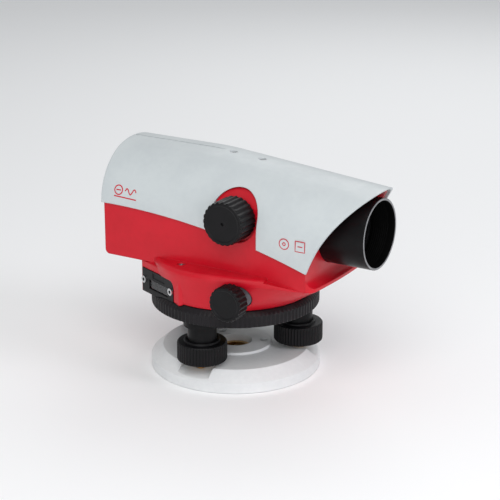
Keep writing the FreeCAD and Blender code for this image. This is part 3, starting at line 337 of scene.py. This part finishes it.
# the purple-grey rub colour of the black grips and the circle ring is a painted sheen on top of wear
gripLook = {"colour": (0.003, 0.003, 0.0035), "shade": (0.005, 0.0045, 0.0055), "mottleScale": 80.0,
            "rough": (0.34, 0.46), "peel": 1800.0, "bump": 0.2, "rubAndHighlight": 0.15,
            "rubHighlightColour": (0.06, 0.055, 0.06), "specular": 0.2, "soften": 0.0003}
ringLook = {"colour": (0.006, 0.005, 0.006), "shade": (0.011, 0.0095, 0.0115), "mottleScale": 60.0,
            "rough": (0.3, 0.44), "peel": 1500.0, "bump": 0.2, "rubAndHighlight": 0.2, "rubHighlightColour": (0.08, 0.07, 0.08),
            "dust": 0.01, "specular": 0.2}
blackPaintLook = {"colour": (0.003, 0.003, 0.0035), "shade": (0.006, 0.006, 0.0065), "mottleScale": 50.0,
                  "rough": (0.3, 0.42), "peel": 1400.0, "bump": 0.2, "rubAndHighlight": 0.1,
                  "rubHighlightColour": (0.06, 0.06, 0.06), "specular": 0.14, "soften": 0.0003}
# matt black for the blackened inside of the objective barrel, and painted shade in the window screws'
# sockets
blackInsideAndShadeLook = {"colour": (0.0015, 0.0015, 0.0015), "shade": (0.003, 0.003, 0.003), "mottleScale": 50.0,
                   "rough": (0.75, 0.9), "peel": 1600.0, "bump": 0.3, "specular": 0.05}
brassLook = {"colour": (0.72, 0.47, 0.2), "shade": (0.6, 0.38, 0.15), "mottleScale": 90.0,
             "rough": (0.22, 0.4), "marks": 700.0, "bump": 0.15, "metal": 1.0}
steelLook = {"colour": (0.62, 0.62, 0.63), "shade": (0.5, 0.5, 0.51), "mottleScale": 120.0,
             "rough": (0.2, 0.36), "marks": 900.0, "bump": 0.12, "metal": 1.0}
alloyLook = {"colour": (0.56, 0.56, 0.58), "shade": (0.48, 0.48, 0.5), "mottleScale": 90.0,
             "rough": (0.3, 0.45), "marks": 800.0, "bump": 0.18, "metal": 1.0}
discLook = {"colour": (0.13, 0.12, 0.135), "shade": (0.17, 0.16, 0.175), "mottleScale": 90.0,
            "rough": (0.35, 0.5), "marks": 800.0, "bump": 0.15, "metal": 0.6}
silverLook = {"colour": (0.78, 0.78, 0.75), "shade": (0.7, 0.7, 0.68), "mottleScale": 90.0,
              "rough": (0.35, 0.5), "marks": 800.0, "bump": 0.1, "metal": 0.5}
mirrorLook = {"colour": (0.9, 0.9, 0.9), "shade": (0.87, 0.87, 0.88), "rough": (0.02, 0.06), "marks": 900.0,
              "bump": 0.01, "metal": 1.0}
printRedLook = {"colour": (0.55, 0.01, 0.03), "shade": (0.5, 0.008, 0.025), "rough": (0.4, 0.5),
                "peel": 900.0, "bump": 0.05}
printBlackLook = {"colour": (0.01, 0.01, 0.01), "shade": (0.015, 0.015, 0.015), "rough": (0.5, 0.6),
                  "peel": 900.0, "bump": 0.05}
rimLook = {"colour": (0.3, 0.3, 0.31), "shade": (0.2, 0.2, 0.21), "mottleScale": 120.0,
           "rough": (0.25, 0.4), "marks": 900.0, "bump": 0.1, "metal": 0.7}
tapeLook = {"colour": (0.7, 0.62, 0.45), "shade": (0.6, 0.52, 0.36), "mottleScale": 90.0,
            "rough": (0.25, 0.35), "marks": 900.0, "bump": 0.1, "metal": 1.0}
finishes = {name: finish(name, look) for name, look in (
    ("housingRed", redLook), ("coverGrey", greyLook), ("plateGrey", plateLook), ("gripBlack", gripLook),
    ("ringBlack", ringLook), ("paintBlack", blackPaintLook), ("blackInsideAndShade", blackInsideAndShadeLook),
    ("brass", brassLook), ("steel", steelLook), ("alloy", alloyLook), ("bearingDisc", discLook),
    ("scaleSilver", silverLook), ("tapeBronze", tapeLook), ("barrelRim", rimLook), ("silvered", mirrorLook),
    ("printRed", printRedLook), ("printBlack", printBlackLook))}
for glassName, glassLook in (
        ("clearGlass", {"colour": (0.93, 0.97, 0.96), "clear": 0.92, "ior": 1.5, "smear": 0.06}),
        ("windowGlass", {"colour": (0.1, 0.1, 0.11), "clear": 0.9, "ior": 1.5, "smear": 0.08}),
        ("coatedGlass", {"colour": (0.55, 0.62, 0.8), "clear": 0.85, "ior": 1.6, "smear": 0.04,
                         "coat": 0.6}),
        ("levelLiquid", {"colour": (0.72, 0.9, 0.3), "clear": 0.6, "ior": 1.4, "smear": 0.05}),
        ("bubbleAir", {"colour": (0.97, 1.0, 0.9), "clear": 0.5, "ior": 1.1, "smear": 0.05})):
    finishes[glassName] = glassFinish(glassName, glassLook)
print("materials ready:", len(finishes))

nodeFinish = {
    "plateGrey": ["base_plate"],
    "brass": ["thread_insert", "worm_wheel", "axis_bush", "focus_bush", "clutch_nut", "pendulum",
              "foot_spindle_1", "foot_spindle_2", "foot_spindle_3"],
    "steel": ["spring_plate", "plate_screws", "clutch_spring", "axis_spindle", "drive_shaft", "focus_pinion",
              "cover_screws", "platform_screws", "panel_screws", "damper_magnets", "focus_rack"],
    "paintBlack": ["tribrach", "foot_sleeves", "objective_tube", "objective_ring", "eyepiece_tube",
                   "reticle_cell", "focus_cell", "eyepiece_cell"],
    "ringBlack": ["circle_ring"],
    "gripBlack": ["foot_knob_1", "foot_knob_2", "foot_knob_3", "drive_knob_right", "drive_knob_left",
                  "focus_knob", "dioptre_ring", "window_panel", "mirror_holder", "level_housing"],
    "scaleSilver": ["circle_scale"],
    "housingRed": ["housing"],
    "coverGrey": ["cover"],
    "windowGlass": ["window_glass"],
    "clearGlass": ["reading_prism", "reticle_glass", "eyepiece_lenses", "fixed_prisms",
                   "pendulum_prism", "focus_lens"],
    "coatedGlass": ["objective_lens"],
    "levelLiquid": ["level_vial"],
    "alloy": ["telescope_tube", "compensator_frame", "prism_bridge"],
    "bearingDisc": ["drive_bushes"],
    "tapeBronze": ["suspension_tapes"],
    "silvered": ["level_mirror"],
}
for finishName, names in nodeFinish.items():
    for nodeName in names:
        mesh = nodes[nodeName].data
        mesh.materials.clear()
        mesh.materials.append(finishes[finishName])
print("node finishes assigned")


# ---- pieces built as surfaces of revolution ----
cornerPoints = 7            # points on each rounded corner of a profile
cornerShare = 0.45          # most of a side that a rounded corner may take
leastCorner = 0.02          # corners rounded by less than this stay sharp
sharpAngle = 38.0           # degrees between faces that stay a crisp edge
ribBlend = 0.07             # softness where a rib meets the profile
ribReach = 0.8              # how far inside the ribs' floor they still shape the surface
weldReach = 1e-7            # metres within which points become one
leastEdge = 1e-8            # metres below which an edge is dissolved


def cornered(points):
    # closed profile of (radius, height, corner radius); each corner becomes a short curve
    spots = np.array([p[:2] for p in points], float)
    curve = []
    for i, spot in enumerate(spots):
        before, after = spots[i - 1] - spot, spots[(i + 1) % len(spots)] - spot
        reach = min(points[i][2], np.linalg.norm(before) * cornerShare,
                    np.linalg.norm(after) * cornerShare)
        if reach < leastCorner:
            curve.append(spot)
            continue
        first = spot + before / np.linalg.norm(before) * reach
        last = spot + after / np.linalg.norm(after) * reach
        for t in np.linspace(0.0, 1.0, cornerPoints):
            # quadratic blend through the corner: (1-t)^2 a + 2t(1-t) corner + t^2 b
            curve.append((1 - t) ** 2 * first + 2 * t * (1 - t) * spot + t ** 2 * last)
    return np.array(curve)


def divided(curve, step):
    # long runs of a profile cut into pieces no longer than step
    spots = []
    for a, b in zip(curve, np.roll(curve, -1, axis=0)):
        cuts = max(1, int(np.linalg.norm(b - a) / step))
        spots += [a + (b - a) * k / cuts for k in range(cuts)]
    return np.array(spots)


def turnSurface(curve, columns, ribs=None):
    # radius r(angle, s) = soft minimum of the profile's radius and the ribbed cylinder's,
    # which is R - depth * wave(angle) ^ sharp
    angle = np.linspace(0.0, 2 * math.pi, columns, endpoint=False)
    radius = np.repeat(curve[:, 0][:, None], columns, axis=1)
    height = np.repeat(curve[:, 1][:, None], columns, axis=1)
    if ribs:
        wave = 0.5 - 0.5 * np.cos(angle * ribs["count"])
        limit = ribs["radius"] - ribs["depth"] * wave ** ribs["sharp"]
        soft = radius - ribBlend * np.log(1.0 + np.exp((radius - limit) / ribBlend))
        radius = np.where(radius > ribs["radius"] - ribs["depth"] - ribReach, soft, radius)
    return radius * np.cos(angle), radius * np.sin(angle), height


def meshOfRings(name, x, y, z, place, axis):
    # a grid closed both ways, in millimetres; place is where local nought lies, axis the way local +Z points
    rows, columns = x.shape
    ahead = np.array(axis, float)
    side = np.cross((0.0, 0.0, 1.0) if abs(ahead[2]) < 0.5 else (0.0, 1.0, 0.0), ahead)
    side = side / np.linalg.norm(side)
    other = np.cross(ahead, side)
    points = (x[..., None] * side + y[..., None] * other + z[..., None] * ahead + np.array(place)) * mm
    number = np.arange(rows * columns).reshape(rows, columns)
    right = np.roll(number, -1, axis=1)
    faces = np.stack([number, right, np.roll(right, -1, axis=0), np.roll(number, -1, axis=0)], axis=-1)
    mesh = bpy.data.meshes.new(name)
    mesh.from_pydata(points.reshape(-1, 3).tolist(), [], faces.reshape(-1, 4).tolist())
    return finishedMesh(name, mesh)


def finishedMesh(name, mesh):
    build = bmesh.new()
    build.from_mesh(mesh)
    bmesh.ops.remove_doubles(build, verts=build.verts, dist=weldReach)
    bmesh.ops.dissolve_degenerate(build, edges=build.edges, dist=leastEdge)
    bmesh.ops.recalc_face_normals(build, faces=build.faces)
    build.to_mesh(mesh)
    build.free()
    mesh.shade_smooth()
    mesh.set_sharp_from_angle(angle=math.radians(sharpAngle))
    piece = bpy.data.objects.new(name, mesh)
    bpy.context.scene.collection.objects.link(piece)
    return piece


def settle(piece, body, slot, finishName, *replaced):
    piece.data.materials.append(finishes[finishName])
    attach(piece, body)
    if replaced:
        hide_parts(*replaced)


footKnob = {"radius": 15.7, "height": 12.5, "ribs": 48, "depth": 0.6, "shoulder": 11.3, "rise": 1.2,
            "bore": 5.0, "pocket": 9.4, "floor": 3.0, "bottom": 15.5, "circle": 40.0, "chamfer": 0.9,
            "draft": 0.2, "sharp": 1.3, "perRib": 8, "run": 1.5, "angles": (-90.0, 30.0, 150.0)}


def makeFootKnobs():
    k = footKnob
    r, h, c = k["radius"], k["height"], k["chamfer"]
    outline = [(k["bore"], 0.0, 0.2), (r - c, 0.0, 0.3), (r, c, 0.4), (r, h - c, 0.4), (r - c, h, 0.4),
               (k["shoulder"], h, 0.3), (k["shoulder"] - k["draft"], h + k["rise"], 0.4),
               (k["pocket"], h + k["rise"], 0.2), (k["pocket"], k["floor"], 0.3),
               (k["bore"], k["floor"], 0.1)]
    curve = divided(cornered(outline), k["run"])
    ribs = {"count": k["ribs"], "radius": r, "depth": k["depth"], "sharp": k["sharp"]}
    for number, degrees in enumerate(k["angles"], start=1):
        a = math.radians(degrees)
        place = (k["circle"] * math.cos(a), k["circle"] * math.sin(a), k["bottom"])
        x, y, z = turnSurface(curve, k["ribs"] * k["perRib"], ribs)
        piece = meshOfRings("footGrip%d" % number, x, y, z, place, (0, 0, 1))
        settle(piece, "foot_%d" % number, "black_plastic", "gripBlack", "foot_knob_%d" % number)


driveKnob = {"radius": 11.2, "length": 9.2, "face": 61.0, "ribs": 22, "depth": 0.95, "neck": 5.0,
             "neckFace": 46.8, "bore": 2.5, "cap": 3.5, "x": 29.5, "z": 63.2, "chamfer": 0.8, "dish": 0.35,
             "lip": 2.2, "lipSlope": 0.5, "sharp": 1.0, "perRib": 14, "run": 1.5}


def makeDriveKnobs():
    k = driveKnob
    r, h, c = k["radius"], k["length"], k["chamfer"]
    neck = k["neckFace"] - (k["face"] - h)
    outline = [(k["bore"], neck, 0.2), (k["neck"], neck, 0.2), (k["neck"], 0.0, 0.4), (r - c, 0.0, 0.4),
               (r, c, 0.4), (r, h - c, 0.5), (r - c, h, 0.5), (r - k["lip"], h, 0.3),
               (r - k["lip"] - k["lipSlope"], h - k["dish"], 0.4),
               (0.0, h - k["dish"], 0.0), (0.0, h - k["cap"], 0.0), (k["bore"], h - k["cap"], 0.1)]
    curve = divided(cornered(outline), k["run"])
    ribs = {"count": k["ribs"], "radius": r, "depth": k["depth"], "sharp": k["sharp"]}
    for name, side, node in (("driveGripRight", -1, "drive_knob_right"),
                             ("driveGripLeft", 1, "drive_knob_left")):
        x, y, z = turnSurface(curve, k["ribs"] * k["perRib"], ribs)
        piece = meshOfRings(name, x, y, z, (k["x"], side * (k["face"] - h), k["z"]), (0, side, 0))
        settle(piece, "drive", "black_plastic", "gripBlack", node)


focusKnob = {"radius": 13.7, "length": 17.2, "face": 51.0, "ribs": 24, "depth": 1.0, "bore": 3.0,
             "cap": 3.5, "x": 21.7, "z": 109.5, "chamfer": 0.9, "dish": 0.3, "pit": 1.0, "pitDepth": 1.5,
             "lip": 2.4, "lipSlope": 0.5, "sharp": 1.0, "perRib": 14, "run": 1.5}


def makeFocusKnob():
    k = focusKnob
    r, h, c = k["radius"], k["length"], k["chamfer"]
    outline = [(k["bore"], 0.0, 0.2), (r - c, 0.0, 0.4), (r, c, 0.4), (r, h - c, 0.5), (r - c, h, 0.5),
               (r - k["lip"], h, 0.3), (r - k["lip"] - k["lipSlope"], h - k["dish"], 0.4),
               (k["pit"], h - k["dish"], 0.2), (k["pit"], h - k["pitDepth"], 0.1),
               (0.0, h - k["pitDepth"], 0.0), (0.0, h - k["cap"], 0.0),
               (k["bore"], h - k["cap"], 0.1)]
    curve = divided(cornered(outline), k["run"])
    ribs = {"count": k["ribs"], "radius": r, "depth": k["depth"], "sharp": k["sharp"]}
    x, y, z = turnSurface(curve, k["ribs"] * k["perRib"], ribs)
    piece = meshOfRings("focusGrip", x, y, z, (k["x"], -(k["face"] - h), k["z"]), (0, -1, 0))
    settle(piece, "focus", "black_plastic", "gripBlack", "focus_knob")


dioptreGrip = {"radius": 13.5, "rear": -88.0, "front": -76.0, "ribs": 36, "depth": 0.55, "bore": 9.53,
               "eye": 6.5, "step": 8.3, "z": 102.4, "eyeSink": 1.0, "lip": 3.6, "brow": 1.4,
               "browRise": 0.9, "shoulder": 1.9, "chamfer": 1.0, "sharp": 1.0, "perRib": 10, "run": 1.2}


def makeDioptreGrip():
    k = dioptreGrip
    r, h = k["radius"], k["front"] - k["rear"]
    outline = [(k["eye"], k["eyeSink"], 0.4), (r - k["lip"], 0.0, 0.9), (r - k["brow"], k["browRise"], 0.8),
               (r, k["shoulder"], 0.6), (r, h - k["chamfer"], 0.5), (r - k["chamfer"], h, 0.4),
               (k["bore"], h, 0.2), (k["bore"], k["step"], 0.1), (k["eye"], k["step"], 0.1)]
    curve = divided(cornered(outline), k["run"])
    ribs = {"count": k["ribs"], "radius": r, "depth": k["depth"], "sharp": k["sharp"]}
    x, y, z = turnSurface(curve, k["ribs"] * k["perRib"], ribs)
    piece = meshOfRings("dioptreGrip", x, y, z, (k["rear"], 0.0, k["z"]), (1, 0, 0))
    settle(piece, "dioptre", "black_plastic", "gripBlack", "dioptre_ring")


circleRim = {"radius": 53.4, "bottom": 42.7, "ribTop": 49.5, "top": 52.5, "bevel": 50.3, "inner": 46.5,
             "ribs": 112, "depth": 0.65, "web": 44.3, "webTop": 47.3, "hub": 21.53, "chamfer": 0.6,
             "sharp": 1.1, "perRib": 7, "run": 1.6}


def makeCircleRim():
    k = circleRim
    r = k["radius"]
    outline = [(k["inner"], k["web"], 0.1), (k["inner"], k["bottom"], 0.3),
               (r - k["chamfer"], k["bottom"], 0.4),
               (r, k["bottom"] + k["chamfer"], 0.4), (r, k["ribTop"], 0.7), (k["bevel"], k["top"], 0.5),
               (k["inner"], k["top"], 0.2), (k["inner"], k["webTop"], 0.2), (k["hub"], k["webTop"], 0.1),
               (k["hub"], k["web"], 0.1)]
    curve = divided(cornered(outline), k["run"])
    ribs = {"count": k["ribs"], "radius": r, "depth": k["depth"], "sharp": k["sharp"]}
    x, y, z = turnSurface(curve, k["ribs"] * k["perRib"], ribs)
    piece = meshOfRings("circleRim", x, y, z, (0.0, 0.0, 0.0), (0, 0, 1))
    settle(piece, "circle", "black_paint", "ringBlack", "circle_ring")


objectiveBarrel = {"radius": 21.9, "root": 60.0, "start": 66.0, "mouth": 100.9, "bore": 20.4, "seat": 18.0,
                   "seatX": 75.0, "flange": 20.0, "z": 102.4, "grooves": 9, "grooveStart": 85.6,
                   "groovePitch": 1.3, "grooveDepth": 0.35, "rim": 0.45, "rimBack": 0.3, "rimInner": 0.1,
                   "rimOuter": 0.15, "columns": 192, "run": 2.5}


def makeObjectiveBarrel():
    k = objectiveBarrel
    outline = [(k["seat"], 0.0, 0.1), (k["flange"], 0.0, 0.2), (k["flange"], k["start"] - k["root"], 0.1),
               (k["radius"], k["start"] - k["root"], 0.1), (k["radius"], k["mouth"] - k["root"], k["rim"]),
               (k["bore"], k["mouth"] - k["root"], k["rim"])]
    for i in reversed(range(k["grooves"])):
        # light baffle: saw-tooth grooves turned inside the hood
        x = k["grooveStart"] + i * k["groovePitch"] - k["root"]
        outline += [(k["bore"], x + k["groovePitch"] * 0.5, 0.0), (k["bore"] + k["grooveDepth"], x, 0.0)]
    outline += [(k["bore"], k["seatX"] - k["root"], 0.1), (k["seat"], k["seatX"] - k["root"], 0.1)]
    curve = divided(cornered(outline), k["run"])
    x, y, z = turnSurface(curve, k["columns"])
    piece = meshOfRings("objectiveBarrel", x, y, z, (k["root"], 0.0, k["z"]), (1, 0, 0))
    settle(piece, "alidade", "black_paint", "paintBlack", "objective_tube")
    piece.data.materials.append(finishes["blackInsideAndShade"])
    piece.data.materials.append(finishes["barrelRim"])
    for polygon in piece.data.polygons:
        middle = polygon.center
        reach = math.hypot(middle.y, middle.z - k["z"] * mm) / mm
        onRim = k["bore"] + k["rimInner"] < reach < k["radius"] - k["rimOuter"]
        if onRim and middle.x > (k["mouth"] - k["rimBack"]) * mm:
            polygon.material_index = 2  # bare metal of the rim
        elif reach < k["bore"] + k["rim"]:
            polygon.material_index = 1  # blackened inside


makeFootKnobs()
makeDriveKnobs()
makeFocusKnob()
makeDioptreGrip()
makeCircleRim()
makeObjectiveBarrel()
print("turned pieces ready")


# ---- thin printed marks and graduations ----
coverSide = {"halfWidth": 38.5, "corner": 35.0, "spring": 104.8}


def onCoverSide(along, up, lift):
    # a point of the cover's right side: straight below the spring line, round the shoulder above it
    k = coverSide
    turn = np.maximum(up, 0.0) / k["corner"]
    reach = k["corner"] + lift
    y = -(k["halfWidth"] - k["corner"] + reach * np.cos(turn))
    z = k["spring"] + np.minimum(up, 0.0) + reach * np.sin(turn)
    return np.stack([along, y, z], axis=-1)


def ribbonMesh(name, paths, width, proud, sunk):
    # each path becomes a flat ribbon of rectangular section that follows the cover's side
    vertices, faces = [], []
    for path, closed in paths:
        spots = np.array(path, float)
        if closed:
            ahead = np.roll(spots, -1, axis=0) - np.roll(spots, 1, axis=0)
        else:
            ahead = np.gradient(spots, axis=0)
        ahead = ahead / np.linalg.norm(ahead, axis=1)[:, None]
        across = np.stack([-ahead[:, 1], ahead[:, 0]], axis=1) * width / 2
        left, right = spots + across, spots - across
        corners = [onCoverSide(left[:, 0], left[:, 1], proud), onCoverSide(right[:, 0], right[:, 1], proud),
                   onCoverSide(right[:, 0], right[:, 1], -sunk), onCoverSide(left[:, 0], left[:, 1], -sunk)]
        start = len(vertices)
        section = np.stack(corners, axis=1).reshape(-1, 3) * mm
        vertices += section.tolist()
        count = len(spots)
        for i in range(count if closed else count - 1):
            a, b = start + 4 * i, start + 4 * ((i + 1) % count)
            faces += [(a + j, a + (j + 1) % 4, b + (j + 1) % 4, b + j) for j in range(4)]
        if not closed:
            end = start + 4 * (count - 1)
            faces += [(start + 3, start + 2, start + 1, start), (end, end + 1, end + 2, end + 3)]
    mesh = bpy.data.meshes.new(name)
    mesh.from_pydata(vertices, [], faces)
    return finishedMesh(name, mesh)


def roundPath(x, up, radius, count=40):
    turn = np.linspace(0.0, 2 * math.pi, count, endpoint=False)
    return np.stack([x + radius * np.cos(turn), up + radius * np.sin(turn)], axis=1)


def straightPath(x0, up0, x1, up1, count=6):
    t = np.linspace(0.0, 1.0, count)
    return np.stack([x0 + (x1 - x0) * t, up0 + (up1 - up0) * t], axis=1)


makerMark = {"ringX": -62.4, "ringUp": 9.9, "ring": 2.9, "bar": 1.7, "waveX": -57.5, "waveUp": 9.7,
             "waveLength": 8.2, "waveRise": 1.7, "halfWaves": 3, "wavePoints": 30, "lineX": -65.4,
             "lineUp": 5.9, "lineEnd": -48.8, "lineEndUp": 5.2, "width": 0.75, "proud": 0.06, "sunk": 0.1}
sideSigns = {"roundX": 57.0, "boxX": 67.8, "up": -5.0, "size": 3.2, "dot": 0.9, "bar": 1.6, "width": 0.55,
             "proud": 0.06, "sunk": 0.1}


def makeMarks():
    # a plain ring with a level line, a wavy line beside it and an underline
    k = makerMark
    t = np.linspace(0.0, 1.0, k["wavePoints"])
    wave = np.stack([k["waveX"] + k["waveLength"] * t,
                     k["waveUp"] + k["waveRise"] * np.sin(t * k["halfWaves"] * math.pi)], axis=1)
    paths = [(roundPath(k["ringX"], k["ringUp"], k["ring"]), True),
             (straightPath(k["ringX"] - k["bar"], k["ringUp"], k["ringX"] + k["bar"], k["ringUp"]), False),
             (wave, False), (straightPath(k["lineX"], k["lineUp"], k["lineEnd"], k["lineEndUp"], 12), False)]
    settle(ribbonMesh("makerMark", paths, k["width"], k["proud"], k["sunk"]), "alidade", "housing_red",
           "printRed")
    # a ring with a smaller ring inside, and a square with a bar inside
    k = sideSigns
    h = k["size"]
    corners = [(k["boxX"] + i * h, k["up"] + j * h) for i, j in ((-1, -1), (1, -1), (1, 1), (-1, 1))]
    box = np.concatenate([straightPath(*a, *b, 5)[:-1] for a, b in zip(corners, corners[1:] + corners[:1])])
    paths = [(roundPath(k["roundX"], k["up"], h), True),
             (roundPath(k["roundX"], k["up"], k["dot"], 16), True),
             (box, True),
             (straightPath(k["boxX"] - k["bar"], k["up"], k["boxX"] + k["bar"], k["up"]), False)]
    settle(ribbonMesh("sideSigns", paths, k["width"], k["proud"], k["sunk"]), "alidade", "housing_red",
           "printRed")


graduations = {"radius": 46.5, "count": 360, "low": 53.4, "short": 1.1, "middle": 1.7, "long": 2.5,
               "width": 0.16, "proud": 0.03, "sunk": 0.05}


def makeGraduations():
    # one thin bar a degree, longer every fifth and tenth
    k = graduations
    degrees = np.arange(k["count"])
    length = np.where(degrees % 10 == 0, k["long"], np.where(degrees % 5 == 0, k["middle"], k["short"]))
    turn = np.radians(degrees)
    along = np.stack([-np.sin(turn), np.cos(turn), np.zeros(k["count"])], axis=1) * k["width"] / 2
    outward = np.stack([np.cos(turn), np.sin(turn), np.zeros(k["count"])], axis=1)
    base = outward * k["radius"]
    base[:, 2] = k["low"]
    rise = np.zeros((k["count"], 3))
    rise[:, 2] = length
    corners = []
    for reach in (-k["sunk"], k["proud"]):
        for side, up in ((-1, 0), (1, 0), (1, 1), (-1, 1)):
            corners.append(base + outward * reach + along * side + rise * up)
    points = np.stack(corners, axis=1) * mm
    sides = np.array([(3, 2, 1, 0), (4, 5, 6, 7), (0, 1, 5, 4), (1, 2, 6, 5), (2, 3, 7, 6), (3, 0, 4, 7)])
    faces = (np.arange(k["count"]) * 8)[:, None, None] + sides[None]
    mesh = bpy.data.meshes.new("graduations")
    mesh.from_pydata(points.reshape(-1, 3).tolist(), [], faces.reshape(-1, 4).tolist())
    settle(finishedMesh("graduations", mesh), "circle", "black_paint", "printBlack")


vialBubble = {"x": -20.0, "y": 48.0, "z": 81.0, "radius": 2.3, "flat": 0.35, "points": 15,
              "columns": 40}


def makeBubble():
    # the level's bubble, a flattened ball
    k = vialBubble
    turn = np.linspace(-math.pi / 2, math.pi / 2, k["points"])
    curve = np.stack([k["radius"] * np.cos(turn), k["radius"] * k["flat"] * np.sin(turn)], axis=1)
    curve[0, 0] = curve[-1, 0] = 0.0
    x, y, z = turnSurface(curve, k["columns"])
    place = (k["x"], k["y"], k["z"])
    settle(meshOfRings("levelBubble", x, y, z, place, (0, 0, 1)), "alidade", "liquid", "bubbleAir")


panelSocketShade = {"cornerX": -47.5, "cornerY": -35.0, "turn": -22.8, "places": (3.4, 32.82), "z": 58.8,
               "floor": 0.61, "depth": 0.3, "radius": 1.09, "columns": 36}


def makePanelSocketShades():
    # painted shade: a matt black disc sunk in each of the window's two screws stands for the shade in its
    # hollow
    k = panelSocketShade
    a = math.radians(k["turn"])
    out = np.array([math.sin(a), -math.cos(a), 0.0])
    outline = [(0.0, 0.0, 0.0), (k["radius"], 0.0, 0.0), (k["radius"], k["depth"], 0.0),
               (0.0, k["depth"], 0.0)]
    x, y, z = turnSurface(cornered(outline), k["columns"])
    for number, u in enumerate(k["places"], start=1):
        place = np.array([k["cornerX"] + u * math.cos(a), k["cornerY"] + u * math.sin(a), k["z"]])
        place = place + out * k["floor"]
        piece = meshOfRings("panelSocketShade%d" % number, x, y, z, place, out)
        # the black disc is painted shade in the screw's hollow
        settle(piece, "alidade", "black_plastic", "blackInsideAndShade")


makeMarks()
makeGraduations()
makeBubble()
makePanelSocketShades()
print("marks, graduations, bubble and sockets ready")
